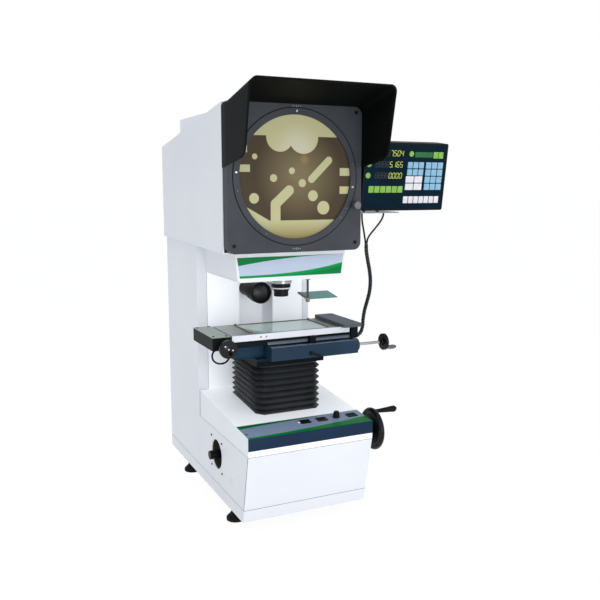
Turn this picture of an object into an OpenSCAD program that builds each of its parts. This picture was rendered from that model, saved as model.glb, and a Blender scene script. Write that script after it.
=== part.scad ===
// Upright optical comparator: round projection screen in a deep head, column, XY stage on a
// screw lift, profile lamp in the base and a digital readout on a bracket.
// X runs to the operator's right and Y to the back. Sizes are set out from the vertical optical axis.

/* [Screen head] */
// Visible diameter of the projection screen
screen_d = 306; // [260:1:314]
// Width of the rotating protractor ring round the screen
ring_w = 15.5; // [12:0.5:16]
// Height of the screen centre above the bench
screen_z = 890; // [882:1:896]
// Distance of the screen front ahead of the optical axis
screen_set = 95; // [85:1:105]
// Width of the head casing
head_w = 374; // [372:1:400]
// Distance of the head's back behind the optical axis
head_back = 502; // [498:1:540]
// Height of the head's underside at the front
head_z = 702; // [696:1:704]
// Height of the head's top at the front
head_top = 1068; // [1060:1:1080]
// Fall of the head's top from front to back
head_fall = 83; // [60:1:95]
// Reach of the hood ahead of the screen
hood_reach = 170; // [120:1:200]
// Rise of the hood's roof from back to front
hood_rise = 35; // [20:1:45]
// Thickness of folded sheet
sheet = 2; // [1.5:0.5:3]

/* [Column and base] */
// Width over the side covers
body_w = 347; // [340:1:366]
// Height of the base above the bench
base_z = 33; // [30:1:40]
// Distance of the base front ahead of the optical axis
base_front = 194; // [185:1:210]
// How far the front panel slants in towards its foot
base_lean = 41; // [20:1:50]
// Height of the base top at its front edge
base_top = 263; // [258:1:268]
// Rise of the base top from its front edge to the column
base_rise = 30; // [20:1:36]
// Distance of the column front behind the optical axis
col_front = 180; // [172:1:190]
// Distance of the column back behind the optical axis
body_back = 495; // [480:1:497]
// Depth of each side cover
cover_t = 25.5; // [20:0.5:27]
// Width of the channel down the column front
channel_w = 104; // [90:1:120]
// Depth of the channel
channel_d = 80; // [60:1:100]
// Diameter of a levelling foot
foot_d = 50; // [40:1:60]

/* [Stage] */
// Height of the stage top at rest
stage_z = 495; // [492:1:500]
// Length of the top table
table_w = 336; // [320:1:338]
// Depth of the top table
table_d = 152; // [148:1:160]
// Thickness of the top table
table_t = 16; // [14:0.5:18]
// Length of the stage glass
glass_w = 210; // [180:1:216]
// Depth of the stage glass
glass_d = 130; // [110:1:134]
// Thickness of the stage glass
glass_t = 5; // [4:0.5:6]
// Travel of the carriage to the left and right in all
travel_x = 150; // [100:1:150]
// Travel of the table to the front and back in all
travel_y = 50; // [30:1:50]
// Radius of the two stage handwheels
wheel_r = 23; // [18:1:25]

/* [Lift] */
// Height of the saddle's underside at rest
saddle_z = 405; // [400:1:408]
// Radius of the lift post
post_r = 26; // [22:1:28]
// Radius of the focus handwheel
focus_r = 56; // [48:1:62]
// Length of the focus handwheel's grip
grip_l = 60; // [45:1:70]
// Number of pleats in the bellows
pleats = 8; // [6:1:10]

/* [Readout] */
// Width of the readout
dro_w = 258; // [230:1:280]
// Height of the readout
dro_h = 180; // [160:1:190]
// Depth of the readout casing
dro_d = 50; // [40:1:60]
// Forward lean of the readout in degrees
dro_lean = 8; // [4:0.5:10]

/* [Hidden] */
$fn = 64;

// Running fit of a shaft in its bearing, and the gap of a slide on its way
fit = 0.05;
slide_gap = 0.02;
// Gap between pieces that pass each other
pass_gap = 0.4;

// Half widths of head and body
hx = head_w / 2;
bx = body_w / 2;

// Screen frame, ring and friction drive
frame_y = -screen_set - 5;
frame_t = 28;
frame_w = head_w - 2 * sheet;
frame_h = head_top - head_z - 1;
frame_mid = head_z + 1 + frame_h / 2;
frame_r = 20;
head_front = frame_y + frame_t;
ring_r = screen_d / 2 + ring_w;
ring_back = frame_y + 22;
glass_lip = 4;
screen_t = 5;
roller_r = 8;
knob_angle = -23.4;
knob_x = (ring_r + roller_r + fit) * cos(knob_angle);
knob_z = screen_z + (ring_r + roller_r + fit) * sin(knob_angle);
knob_r = 10;
spindle_r = 3;

// Head casing: underside and roof both slope
head_wall = 3;
head_lift = 15;
head_round = 14;
head_corner = 30;
function head_bot(y) = head_z + head_lift * (y - head_front) / (head_back - head_front);
function head_roof(y) = head_top - head_fall * (y - head_front) / (head_back - head_front);
hump_w = 260;
hump_back = head_back - 34;

// Mirrors inside the head: the beam goes up, back and then forward to the screen
relay_z = 770;
main_y = head_back - 72;
beam_tilt = atan((screen_z - relay_z) / main_y);
relay_size = [90, 110, 6];
main_size = [180, 180, 8];

// Base: front panel leans, deck slopes up to the column
pan_top = base_z + 34;
pan_floor = 5;
seam_z = base_top - 47;
band_z = base_top - 31;
panel_t = 3;
function front_y(z) = -(base_front - base_lean) - base_lean * (z - base_z) / (seam_z - base_z);
function deck(y) = base_top + base_rise * (y + base_front) / (col_front + base_front);
deck_tilt = atan(base_rise / (col_front + base_front));
foot_x = bx - 18;
foot_ys = [front_y(base_z) + 100, body_back - 165];
feet_mid = (foot_ys[0] + foot_ys[1]) / 2;

// Control panel on the deck's front edge
panel_d = 82;
control_y = -base_front + 52;
rocker_xs = [bx - 169.5, bx - 121.5, bx - 33.5];
rocker_size = [18, 13];
rocker_tip = 8;
dimmer_x = bx - 79.5;
dimmer_r = 9;

// Condenser knob in its round well on the left
well_y = 42;
well_z = 149;
well_r = 40;
well_deep = 20;
well_bolt = 42;
focus_screw_r = 4;

// Chin, lens and half mirror below the head
chin_front = head_front + 2;
chin_w = 314;
chin_z = head_z - 74;
chin_wall = 2.5;
lens_bot = chin_z - 50;
mount_r = 21.5;
illum_z = lens_bot - 10;
illum_r = 31;
illum_front = col_front - 42;
pin_x = 75;
pin_y = -9;
pin_r = 3;
pin_foot = lens_bot - 18;
arm_tilt = 9.5;
arm_w = 7;
mirror_size = [85, 62, 2];

// Lift: post in a guide, screw inside the post, bevel pair below and a belt to the handwheel
lift_down = 60;
screw_y = 95;
screw_r = 8;
journal_r = 6;
drive_z = 70;
guide_top = saddle_z - 75;
guide_foot = 100;
post_foot = guide_foot + lift_down + 10;
bevel_far = 25;
bevel_near = 15;
focus_y = -base_front + 37;
focus_z = base_top - 34;
focus_x = bx + 21.5;
focus_pin = focus_r - 10;
pulley_r = 18;
belt_x = 122;
belt_w = 10;
belt_t = 3;

// Stage: saddle and X bar on the lift, carriage on the saddle, table on the carriage
saddle_top = stage_z - table_t - 19;
way_h = 2;
carriage_z = saddle_top + way_h;
carriage_t = 15;
table_z = stage_z - table_t;
saddle_x = 150;
saddle_front = -45;
light_r = 32;
bar_x = [-70, 188];
bar_y = [-100, saddle_front];
bar_z = [saddle_z + 20, saddle_top];
x_axis_y = -75;
x_axis_z = (bar_z[0] + bar_z[1]) / 2;
x_nut_x = 55;
nut_w = 16;
block_gap = 5;
block_in = table_w / 2 + block_gap;
block_out = block_in + 48;
cover_in = table_w / 2 - 30;
cover_out = block_in + 21;
y_axis_x = -block_in - 17;
y_axis_z = carriage_z + 8;
y_screw_r = 5;
edge_holes = [-90, -75];
edge_hole_r = 2.1;
glass_lap = 7;
x_wheel_x = cover_out + travel_x / 2 + 3;
y_wheel_y = -table_d / 2 - 22;

// Bellows: pleats tilt from the deck's slope to level
bellows_x = 93;
bellows_y = [-60, 150];
bellows_cut = 18;
pleat_in = 9;
bellows_t = 1.6;

// Readout bracket and tilt pivot
dro_x = hx + 3;
dro_y = frame_y + 10;
dro_z = screen_z - 87;
tray_z = dro_z - 6;
tray_t = 3;
pivot_y = dro_d + 7;
pivot_z = 12;
pivot_r = 3;
ear_xs = [30, 72];
ear_w = 8;

// Cords: routes of the readout leads, the wrapped bundle and the small scale lead
lead_d = 5;
bundle_d = 11;
lead_left_path = [[226, -35, 797], [226, -35, 785], [229, -33, 768], [235, -30, 748],
    [240, -27, 730], [242.5, -26, 720], [243.5, -25, 713]];
lead_right_path = [[294, -35, 797], [293, -35, 787], [286, -33, 772], [272, -30, 754],
    [257, -27, 736], [250, -26, 724], [248.5, -25, 713]];
bundle_path = [[246, -25, 712], [248, -24, 690], [256, -19, 662], [266, -12, 634], [275, -2, 604],
    [281, 12, 572], [283, 28, 542], [282, 40, 514], [281, 46, 488], [281, 49, 466],
    [276, 50, 449], [263, 50, 438.5], [246, 50, 436], [226.5, 50, 436]];
scale_lead_path = [[-150, 66, 434], [-160, 66, 433], [-170, 67, 426], [-173, 69, 414],
    [-168, 72, 401], [-156, 75, 392], [-142, 79, 389], [-128, 83, 392], [-118, 86, 402],
    [-114, 87, 414], [-114, 87, 425]];

// Boxes and rods by their limits, and outlines drawn in a plane and carried across it
module box(x, y, z)
    translate([x[0], y[0], z[0]]) cube([x[1] - x[0], y[1] - y[0], z[1] - z[0]]);
module rod_x(x, y, z, r)
    translate([x[0], y, z]) rotate([0, 90, 0]) cylinder(h = x[1] - x[0], r = r);
module rod_y(y, x, z, r)
    translate([x, y[1], z]) rotate([90, 0, 0]) cylinder(h = y[1] - y[0], r = r);
module rod_z(z, x, y, r)
    translate([x, y, z[0]]) cylinder(h = z[1] - z[0], r = r);
module along_x(x) translate([x[0], 0, 0]) rotate([90, 0, 90]) linear_extrude(x[1] - x[0]) children();
module along_y(y) translate([0, y[1], 0]) rotate([90, 0, 0]) linear_extrude(y[1] - y[0]) children();
module turned_x(x, y, z) translate([x, y, z]) rotate([0, 90, 0]) rotate_extrude() children();
module turned_y(y, x, z) translate([x, y, z]) rotate([-90, 0, 0]) rotate_extrude() children();
module round_rect(w, h, r) {
    square([w - 2 * r, h], center = true);
    square([w, h - 2 * r], center = true);
    for (sx = [-1, 1], sy = [-1, 1])
        translate([sx * (w / 2 - r), sy * (h / 2 - r)]) circle(r);
}
module on_deck(x, y) translate([x, y, deck(y)]) rotate([deck_tilt, 0, 0]) children();
module on_dro() translate([dro_x, dro_y, dro_z]) rotate([dro_lean, 0, 0]) children();
function arc_pts(c, r, a0, a1, n = 5) =
    [for (i = [0:n]) let (a = a0 + (a1 - a0) * i / n) c + r * [cos(a), sin(a)]];

// Tube swept along a route: each ring stands square to the route at its point
function unit(v) = v / norm(v);
function heading(p, i) =
    unit(p[min(i + 1, len(p) - 1)] - p[max(i - 1, 0)]);
function ring_at(c, t, r, n) =
    let (s = abs(t[1]) > 0.9 ? [1, 0, 0] : [0, 1, 0], u = unit(cross(t, s)), v = cross(u, t))
    [for (k = [0:n - 1]) c + r * (cos(360 * k / n) * u + sin(360 * k / n) * v)];
module tube(path, d, n = 8) {
    m = len(path);
    ends = [for (i = [0:m - 1])
        i == 0 ? unit(path[1] - path[0]) : i == m - 1 ? unit(path[m - 1] - path[m - 2]) : heading(path, i)];
    pts = [for (i = [0:m - 1]) each ring_at(path[i], ends[i], d / 2, n)];
    sides = [for (i = [0:m - 2], k = [0:n - 1])
        [i * n + k, i * n + (k + 1) % n, (i + 1) * n + (k + 1) % n, (i + 1) * n + k]];
    polyhedron(pts, concat([[for (k = [n - 1:-1:0]) k]], sides,
        [[for (k = [0:n - 1]) (m - 1) * n + k]]));
}

// Base
module base_pan() color("#e4e8ee") {
    difference() {
        along_x([-bx, bx]) polygon([[front_y(base_z), base_z], [front_y(pan_top), pan_top],
            [body_back, pan_top], [body_back, base_z]]);
        box([-bx + panel_t, bx - panel_t], [front_y(base_z) + panel_t, body_back - panel_t],
            [base_z + pan_floor, pan_top + 1]);
        rod_z([base_z + 3, base_z + 20], 0, screw_y, journal_r + fit);
    }
    difference() {
        rod_z([base_z + pan_floor, base_z + 11], 0, screw_y, 14);
        rod_z([base_z + 3, base_z + 20], 0, screw_y, journal_r + fit);
    }
}
module base_top() color("#e4e8ee") difference() {
    union() {
        difference() {
            along_x([-bx, bx]) polygon([[-base_front, seam_z], [-base_front, base_top],
                [col_front, deck(col_front)], [col_front, seam_z]]);
            along_x([-bx + panel_t, bx - panel_t]) polygon([
                [-base_front + panel_t, seam_z - 1],
                [-base_front + panel_t, deck(-base_front + panel_t) - panel_t],
                [col_front - panel_t, deck(col_front - panel_t) - panel_t],
                [col_front - panel_t, seam_z - 1]]);
        }
        for (x = [[belt_x - 26, belt_x - 14], [bx - 14, bx - 1]])
            along_x(x) polygon([[focus_y - 15, seam_z + 1], [focus_y - 15, deck(focus_y - 15) - 1],
                [focus_y + 15, deck(focus_y + 15) - 1], [focus_y + 15, seam_z + 1]]);
    }
    rod_x([belt_x - 30, bx + 1], focus_y, focus_z, journal_r + fit);
    box([-bellows_x + 15, bellows_x - 15], [bellows_y[0] + 14, bellows_y[1] - 12],
        [base_top - 20, base_top + base_rise + 1]);
    control_cuts(1, -14);
}
module control_cuts(up, down) {
    for (x = rocker_xs)
        on_deck(x, control_y) translate([0, 0, down])
            linear_extrude(up - down) square([rocker_size[0] + 6, rocker_size[1] + 6], center = true);
    on_deck(dimmer_x, control_y) translate([0, 0, down]) cylinder(h = up - down, r = spindle_r + fit);
}
module front_panel() color("#e4e8ee")
    along_x([-bx + 0.5, bx - 0.5]) polygon([[front_y(pan_top + 0.5), pan_top + 0.5],
        [-base_front + 0.1, seam_z - 0.5], [-base_front + panel_t, seam_z - 0.5],
        [front_y(pan_top + 0.5) + panel_t, pan_top + 0.5]]);
module front_band() color("#24384c")
    box([-bx, bx], [-base_front - 1.5, -base_front], [band_z, base_top]);
module control_panel() color("#8c93ae") {
    difference() {
        on_deck(0, -base_front) translate([-bx + 1, 0, 0]) cube([2 * bx - 2, panel_d, 1.5]);
        control_cuts(6, -1);
    }
    for (x = rocker_xs) on_deck(x, control_y) rocker_bezel();
}
module rocker_bezel() difference() {
    translate([0, 0, -10]) linear_extrude(13)
        square([rocker_size[0] + 5.6, rocker_size[1] + 5.6], center = true);
    translate([0, 0, -11]) linear_extrude(15)
        square([rocker_size[0] + 0.8, rocker_size[1] + 1.6], center = true);
    rod_x([-rocker_size[0], rocker_size[0]], 0, -3, 1.5 + fit);
}
module rocker(x) color("#161718")
    on_deck(x, control_y) translate([0, 0, -3]) rotate([rocker_tip, 0, 0]) {
        half = rocker_size[1] / 2 - 0.5;
        along_x([-rocker_size[0] / 2, rocker_size[0] / 2]) polygon([[-half, 6.5], [0, 5.5],
            [half, 6.5], [half - 2, -3], [2 - half, -3]]);
        rod_x([-rocker_size[0] / 2 - 2.5, rocker_size[0] / 2 + 2.5], 0, 0, 1.5);
    }
module rocker_lamp() rocker(rocker_xs[0]);
module rocker_profile() rocker(rocker_xs[1]);
module rocker_surface() rocker(rocker_xs[2]);
module dimmer_knob() color("#161718") on_deck(dimmer_x, control_y) {
    translate([0, 0, 2]) difference() {
        rotate_extrude() polygon([[0, 0], [dimmer_r, 0], [dimmer_r, 3], [dimmer_r - 1.5, 15],
            [dimmer_r - 3, 16.5], [0, 16.5]]);
        translate([-0.6, 0, 15.5]) cube([1.2, dimmer_r, 3]);
    }
    translate([0, 0, -12]) cylinder(h = 15, r = spindle_r);
}
module screw_head(r, h) difference() {
    cylinder(h = h, r = r);
    translate([0, 0, h / 2]) cylinder(h = h, r = r * 0.5, $fn = 6);
}
module screws() color("#2b2c2e") {
    for (x = [-1, 1], z = [head_z + 21, head_top - 14])
        translate([x * (frame_w / 2 - 17), frame_y, z]) rotate([90, 0, 0]) screw_head(4.5, 2);
    for (y = [-1, 1], z = [-1, 1])
        translate([-bx, well_y + y * well_bolt, well_z + z * well_bolt])
            rotate([0, -90, 0]) screw_head(3, 1.5);
    for (x = [-1, 1]) on_deck(x * (bx - 6), -base_front + 26) translate([0, 0, 1.5]) screw_head(2.5, 1);
}
module side_cover(side) {
    inner_x = bx - cover_t;
    mirror([side < 0 ? 1 : 0, 0, 0]) difference() {
        along_x([inner_x, bx]) polygon(cover_outline(0));
        along_x([inner_x - 1, bx - sheet]) polygon(cover_outline(sheet));
        translate([0, 0, seam_z]) linear_extrude(head_z) polygon([[bx + 1, col_front - 1],
            [bx + 1, col_front + 12], [bx, col_front + 12],
            [inner_x, col_front], [inner_x, col_front - 1]]);
    }
}
// The cover runs up the column and forward along the base below the seam
function cover_outline(in) = let (f = col_front + (in > 0 ? 14 : 0)) [
    [front_y(pan_top) + panel_t + in, pan_top + in], [front_y(seam_z) + panel_t + in, seam_z - in],
    [f, seam_z - in], [f, head_bot(f) - in], [body_back - in, head_bot(body_back) - in],
    [body_back - in, pan_top + in]];
module side_cover_left() color("#dfe3ea") difference() {
    side_cover(-1);
    rod_x([-bx - 1, -bx + sheet + 1], well_y, well_z, well_r);
}
module side_cover_right() color("#dfe3ea") side_cover(1);
module column_frame() color("#e9ecf1") intersection() {
    inner_x = bx - cover_t;
    translate([0, 0, base_z + pan_floor]) linear_extrude(head_top) difference() {
        translate([-inner_x, col_front]) square([2 * inner_x, body_back - panel_t - 2 - col_front]);
        translate([-channel_w / 2, col_front - 1]) square([channel_w, channel_d + 1]);
        translate([-inner_x + 6, col_front + channel_d + 6]) square([2 * inner_x - 12, body_back]);
        for (s = [-1, 1])
            translate([s * (inner_x + channel_w / 2) / 2
                - (inner_x - channel_w / 2 - 12) / 2, col_front + 6])
                square([inner_x - channel_w / 2 - 12, channel_d + 10]);
    }
    along_x([-bx, bx]) polygon([[col_front - 1, base_z], [body_back, base_z],
        [body_back, head_bot(body_back)], [col_front - 1, head_bot(col_front - 1)]]);
}
vent_rows = 8;
module rear_cover() color("#e4e8ee") difference() {
    inner_x = bx - cover_t;
    box([-inner_x, inner_x], [body_back - panel_t - 2, body_back - 2], [pan_top, head_bot(body_back) - 6]);
    for (i = [0:vent_rows - 1], z = [pan_top + 80, head_z - 150])
        box([-60, 60], [body_back - 10, body_back], [z + i * 11, z + i * 11 + 4]);
    box([inlet_x - 14, inlet_x + 14], [body_back - 10, body_back], [inlet_z - 10, inlet_z + 10]);
}
inlet_x = bx - 83.5;
inlet_z = pan_top + 36;
module mains_inlet() color("#1b1c1e") {
    y = body_back - 2;
    difference() {
        union() {
            translate([inlet_x, 0, inlet_z]) along_y([y, y + 2]) round_rect(40, 30, 4);
            box([inlet_x - 13.8, inlet_x + 13.8], [y - 26, y + 0.1], [inlet_z - 9.8, inlet_z + 9.8]);
        }
        box([inlet_x - 11.8, inlet_x + 11.8], [y - 18, y + 3], [inlet_z - 7.8, inlet_z + 7.8]);
    }
    for (p = [[-7, -2], [7, -2], [0, 3]])
        box([inlet_x + p[0] - 1, inlet_x + p[0] + 1], [y - 20, y - 4],
            [inlet_z + p[1] - 2, inlet_z + p[1] + 2]);
}
module feet() color("#17181a")
    for (x = [-foot_x, foot_x], y = foot_ys)
        translate([x, y, 0]) rotate_extrude() polygon([[0, 0], [foot_d / 2, 0],
            [foot_d / 2, 7], [foot_d / 2 - 8, 15],
            [11, base_z - 10], [8, base_z - 8], [8, base_z], [0, base_z]]);

// Head
function head_side(w) = concat(
    [[head_front - (w > 0 ? 1 : 0), head_bot(head_front) + w],
    [head_front - (w > 0 ? 1 : 0), head_roof(head_front) - w]],
    arc_pts([head_back - head_round, head_roof(head_back) - head_round], head_round - w, 82, 0),
    arc_pts([head_back - head_round, head_bot(head_back) + head_round], head_round - w, 0, -90));
module head_plan(w) {
    translate([-hx + w, head_front - 1]) square([2 * (hx - w), head_back - head_corner - head_front + 1]);
    translate([-hx + head_corner, head_front - 1])
        square([2 * (hx - head_corner), head_back - w - head_front + 1]);
    for (s = [-1, 1]) translate([s * (hx - head_corner), head_back - head_corner]) circle(head_corner - w);
}
module head_form(w) intersection() {
    along_x([-hx + w, hx - w]) polygon(head_side(w));
    translate([0, 0, head_z - 1]) linear_extrude(head_top) head_plan(w);
}
module head_casing() color("#e4e8ee") difference() {
    union() {
        difference() {
            head_form(0);
            head_form(head_wall);
        }
        difference() {
            hump(0);
            hump(head_wall);
            head_form(head_wall);
        }
        for (x = [[-relay_size[0] / 2 - 6, -relay_size[0] / 2], [relay_size[0] / 2, relay_size[0] / 2 + 6]])
            box(x, [-45, 40], [head_z + 1, relay_z + 50]);
        for (x = [[-70, -60], [60, 70]]) along_x(x) polygon([[main_back(-80), screen_z - 80],
            [main_back(80), screen_z + 80],
            [head_back - 1, screen_z + 80], [head_back - 1, screen_z - 80]]);
    }
    rod_z([head_z - 1, head_z + 10], 0, 0, 40);
    box([-hump_w / 2 + head_wall, hump_w / 2 - head_wall], [120, hump_back - head_wall],
        [head_roof(head_back), head_top - head_wall + 2]);
}
function main_back(dz) = main_y - dz * tan(beam_tilt / 2) + main_size[2] / cos(beam_tilt / 2);
// The hump keeps the roof level behind its sloping front part
module hump(w) along_x([-hump_w / 2 + w, hump_w / 2 - w]) polygon([
    [head_front + 40, head_roof(head_front + 40) - 1 - w], [head_front + 40, head_top + 1 - w],
    [hump_back - w, head_top + 1 - w], [hump_back - w, head_roof(hump_back) - 1 - w]]);
module mirrors() color("#b9c4cc") {
    translate([0, 0, relay_z]) rotate([45 + beam_tilt / 2, 0, 0])
        translate([-relay_size[0] / 2, -relay_size[1] / 2, 0]) cube(relay_size);
    translate([0, main_y, screen_z]) rotate([90 + beam_tilt / 2, 0, 0])
        translate([-main_size[0] / 2, -main_size[1] / 2, -main_size[2]]) cube(main_size);
    translate([0, 0, well_z]) rotate([0, -45, 0]) translate([-30, -20, -4]) cube([60, 40, 4]);
}
module screen_frame() color("#4b4d53") difference() {
    along_y([frame_y, head_front]) translate([0, frame_mid]) round_rect(frame_w, frame_h, frame_r);
    rod_y([frame_y - 1, ring_back], 0, screen_z, ring_r + fit);
    rod_y([frame_y - 1, head_front + 1], 0, screen_z, screen_d / 2);
    rod_y([frame_y - 1, ring_back], knob_x, knob_z, roller_r + pass_gap);
    rod_y([frame_y, head_front + 1], knob_x, knob_z, spindle_r + fit);
}
module screen_ring() color("#4f5157") difference() {
    rod_y([frame_y - 1, ring_back - pass_gap], 0, screen_z, ring_r);
    rod_y([frame_y - 2, ring_back + 1], 0, screen_z, screen_d / 2);
    rod_y([-screen_set, -screen_set + screen_t], 0, screen_z, screen_d / 2 + glass_lip);
}
module ground_glass() color("#c9c58c")
    rod_y([-screen_set, -screen_set + screen_t], 0, screen_z, screen_d / 2 + glass_lip);
module screen_knob() color("#6d7178") {
    rod_y([frame_y + 2, ring_back - pass_gap], knob_x, knob_z, roller_r);
    rod_y([frame_y + 2, head_front + 4], knob_x, knob_z, spindle_r);
    turned_y(frame_y - 26, knob_x, knob_z) polygon([[0, 0], [knob_r - 1.5, 0], [knob_r, 1.5],
        [knob_r, 20], [spindle_r + 2, 22], [spindle_r + 2, 28], [0, 28]]);
}
hood_seat = head_front + 7;
hood_tip = -screen_set - hood_reach;
hood_foot = screen_z + 22;
module hood() color("#151a18") {
    roof = [[hood_seat, head_top], [frame_y, head_top], [hood_tip, head_top + hood_rise]];
    along_x([-hx, hx]) polygon(concat(roof, [for (i = [2:-1:0]) roof[i] + [0, sheet]]));
    for (s = [-1, 1])
        along_x(s < 0 ? [-hx, -hx + sheet] : [hx - sheet, hx]) polygon(concat(
            [[head_front, hood_foot], [head_front, head_top + 0.5], [frame_y, head_top + 0.5],
             [hood_tip, head_top + hood_rise + 0.5]],
            arc_pts([hood_tip + 64, hood_foot + 44], 26, 195, 258)));
}
module chin_form(w) intersection() {
    along_y([chin_front + w, col_front + (w > 0 ? 1 : 0)]) polygon([[-chin_w / 2 + w, head_z + 20],
        [-chin_w / 2 + 8 + w, chin_z + 6], [-chin_w / 2 + 14 + w, chin_z + w],
        [chin_w / 2 - 14 - w, chin_z + w], [chin_w / 2 - 8 - w, chin_z + 6],
        [chin_w / 2 - w, head_z + 20]]);
    along_x([-chin_w, chin_w]) polygon([[chin_front, chin_z], [col_front + 1, chin_z],
        [col_front + 1, head_bot(col_front + 1)], [chin_front, head_bot(chin_front)]]);
}
module chin() color("#eef0f4") difference() {
    chin_form(0);
    difference() {
        chin_form(chin_wall);
        box([pin_x - 8, pin_x + 8], [pin_y - 8, pin_y + 8], [chin_z, chin_z + 12]);
    }
    rod_z([chin_z - 1, chin_z + 10], 0, 0, mount_r + 0.2);
}
module lens_mount() color("#c3c5c9") {
    rotate_extrude() polygon([[18, chin_z - 22], [mount_r, chin_z - 22], [mount_r, chin_z + chin_wall],
        [32, chin_z + chin_wall], [32, chin_z + 8], [18, chin_z + 8]]);
    rod_x([mount_r - 0.5, mount_r + 12], 0, chin_z - 7, 3);
}
module lens_barrel() color("#1d1e20") rotate_extrude() polygon([[14, lens_bot], [19, lens_bot],
    [19.5, lens_bot + 1], [19.5, lens_bot + 14], [21, lens_bot + 14],
    [21, lens_bot + 19], [24, lens_bot + 19],
    [24, chin_z - 22], [18, chin_z - 22], [18, chin_z + 4], [14, chin_z + 4]]);
module lens_glass() color("#8fb3c4") rotate_extrude()
    polygon(concat([[0, lens_bot + 16], [14, lens_bot + 12]],
    [[14, lens_bot + 6]], [[9, lens_bot + 3.6], [0, lens_bot + 2]]));
module illuminator() color("#17181a") {
    difference() {
        turned_y(illum_front, 0, illum_z) polygon([[0, 0], [illum_r - 1, 0], [illum_r, 1], [illum_r, 30],
            [illum_r - 4, 34], [illum_r - 4, 62], [22, 66], [22, col_front + channel_d - illum_front],
            [0, col_front + channel_d - illum_front]]);
        turned_y(illum_front - 1, 0, illum_z) polygon([[0, 0], [illum_r - 4, 0], [illum_r - 6, 7], [0, 9]]);
    }
}

// Half mirror on its swing arm
module mirror_pin() color("#b8babd") {
    rod_z([pin_foot, chin_z], pin_x, pin_y, pin_r);
    rod_z([chin_z - 9, chin_z - 6], pin_x, pin_y, 8);
    rod_z([pin_foot - 2, pin_foot], pin_x, pin_y, 5);
}
module on_arm() translate([pin_x, pin_y, pin_foot + 5]) rotate([arm_tilt, 0, 0]) children();
module mirror_arm() color("#9b9d9f") difference() {
    union() {
        rod_z([pin_foot + slide_gap, pin_foot + 9], pin_x, pin_y, 6);
        on_arm() box([0, arm_w], [0, mirror_size[1] + 3], [-3, 1.5]);
    }
    rod_z([pin_foot - 5, pin_foot + 20], pin_x, pin_y, pin_r + fit);
}
module half_mirror() color("#45a08f", 0.8)
    on_arm() translate([arm_w, 1, -1]) cube(mirror_size);

// Profile lamp, condenser and their knob
lamp_x = [-bx + 29.5, -88];
lamp_y = [-45, 36];
plinth_top = well_z - 39;
module lamp_house() color("#3a3d40") {
    difference() {
        union() {
            box([lamp_x[0], 45], lamp_y, [base_z + pan_floor, plinth_top]);
            box(lamp_x, lamp_y, [plinth_top - 1, well_z + 47]);
        }
        box(lamp_x + [3, -3], lamp_y + [3, -3], [plinth_top + 3, well_z + 44]);
        rod_x([lamp_x[1] - 4, lamp_x[1] + 1], 0, well_z, 20);
        for (i = [0:4]) box(lamp_x + [8, -8], [-36 + i * 14, -30 + i * 14], [well_z + 40, well_z + 50]);
    }
    along_y([-20, 20]) polygon([[-15, plinth_top - 1], [40, plinth_top - 1], [40, well_z + 11],
        [24 + 0.04, well_z + 24 - 5.66 + 0.04], [-24 + 5.66, well_z - 24]]);
}
module profile_lamp() color("#e8e2c8") translate([(lamp_x[0] + lamp_x[1]) / 2, 0, plinth_top + 3])
    rotate_extrude() polygon(concat([[0, 0], [10, 0], [10, 20], [6, 24], [6, 36]],
        arc_pts([0, 42], 6, 0, 90)));
module condenser() color("#8c9095") {
    difference() {
        union() {
            rod_x([-72, -38], 0, well_z, 24);
            box([-72, -38], [-14, 14], [plinth_top + slide_gap, well_z - 20]);
            box([-62, -48], [14, well_y + 9], [well_z - 7, well_z + 7]);
        }
        rod_x([-73, -37], 0, well_z, 18);
        rod_x([-73, -37], well_y, well_z, focus_screw_r + fit);
    }
    rod_x([-60, -50], 0, well_z, 18);
}
module knob_well() color("#4a4a42") difference() {
    union() {
        box([-bx + sheet, -bx + sheet + 2], [well_y - 52, well_y + 52], [well_z - 52, well_z + 52]);
        rod_x([-bx + sheet, -bx + sheet + well_deep], well_y, well_z, well_r + 2);
        rod_x([-bx + sheet, -bx + well_deep + 8], well_y, well_z, 9);
    }
    rod_x([-bx - 1, -bx + well_deep], well_y, well_z, well_r);
    rod_x([-bx - 1, -bx + well_deep + 10], well_y, well_z, focus_screw_r + fit);
}
module condenser_knob() color("#1a1b1d") {
    turned_x(-bx - 21, well_y, well_z) polygon([[0, 0], [11, 0], [12, 1.5], [12, 30], [9, 34], [0, 34]]);
    rod_x([-bx + 12, -32], well_y, well_z, focus_screw_r);
}

// Lift
module lift_guide() color("#6c7075") difference() {
    union() {
        rod_z([guide_foot, guide_top], 0, screw_y, post_r + 10);
        box([-60, 60], [screw_y - 45, screw_y + 60], [guide_foot - 5, guide_foot + 5]);
        for (s = [-1, 1]) translate([s * 56, 0, 0])
            box([-4, 4], [screw_y - 35, screw_y + 55], [base_z + pan_floor, guide_foot]);
    }
    rod_z([base_z, guide_top + 1], 0, screw_y, post_r + fit);
    rod_x([40, 70], screw_y, drive_z, journal_r + fit);
}
module lift_post() color("#b6b9bd") difference() {
    union() {
        rod_z([post_foot, saddle_z], 0, screw_y, post_r);
        rod_z([saddle_z - 8, saddle_z], 0, screw_y, post_r + 14);
    }
    rod_z([post_foot + 25, saddle_z + 1], 0, screw_y, 14);
    rod_z([post_foot - 1, post_foot + 30], 0, screw_y, screw_r + fit);
}
module lead_screw() color("#9a9da1") translate([0, screw_y, 0]) rotate_extrude() polygon([
    [0, base_z + 3], [journal_r, base_z + 3], [journal_r, drive_z - bevel_far - 1],
    [bevel_far - 0.4, drive_z - bevel_far], [bevel_near - 0.4, drive_z - bevel_near],
    [screw_r, drive_z - bevel_near], [screw_r, guide_top - 10], [0, guide_top - 10]]);
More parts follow.
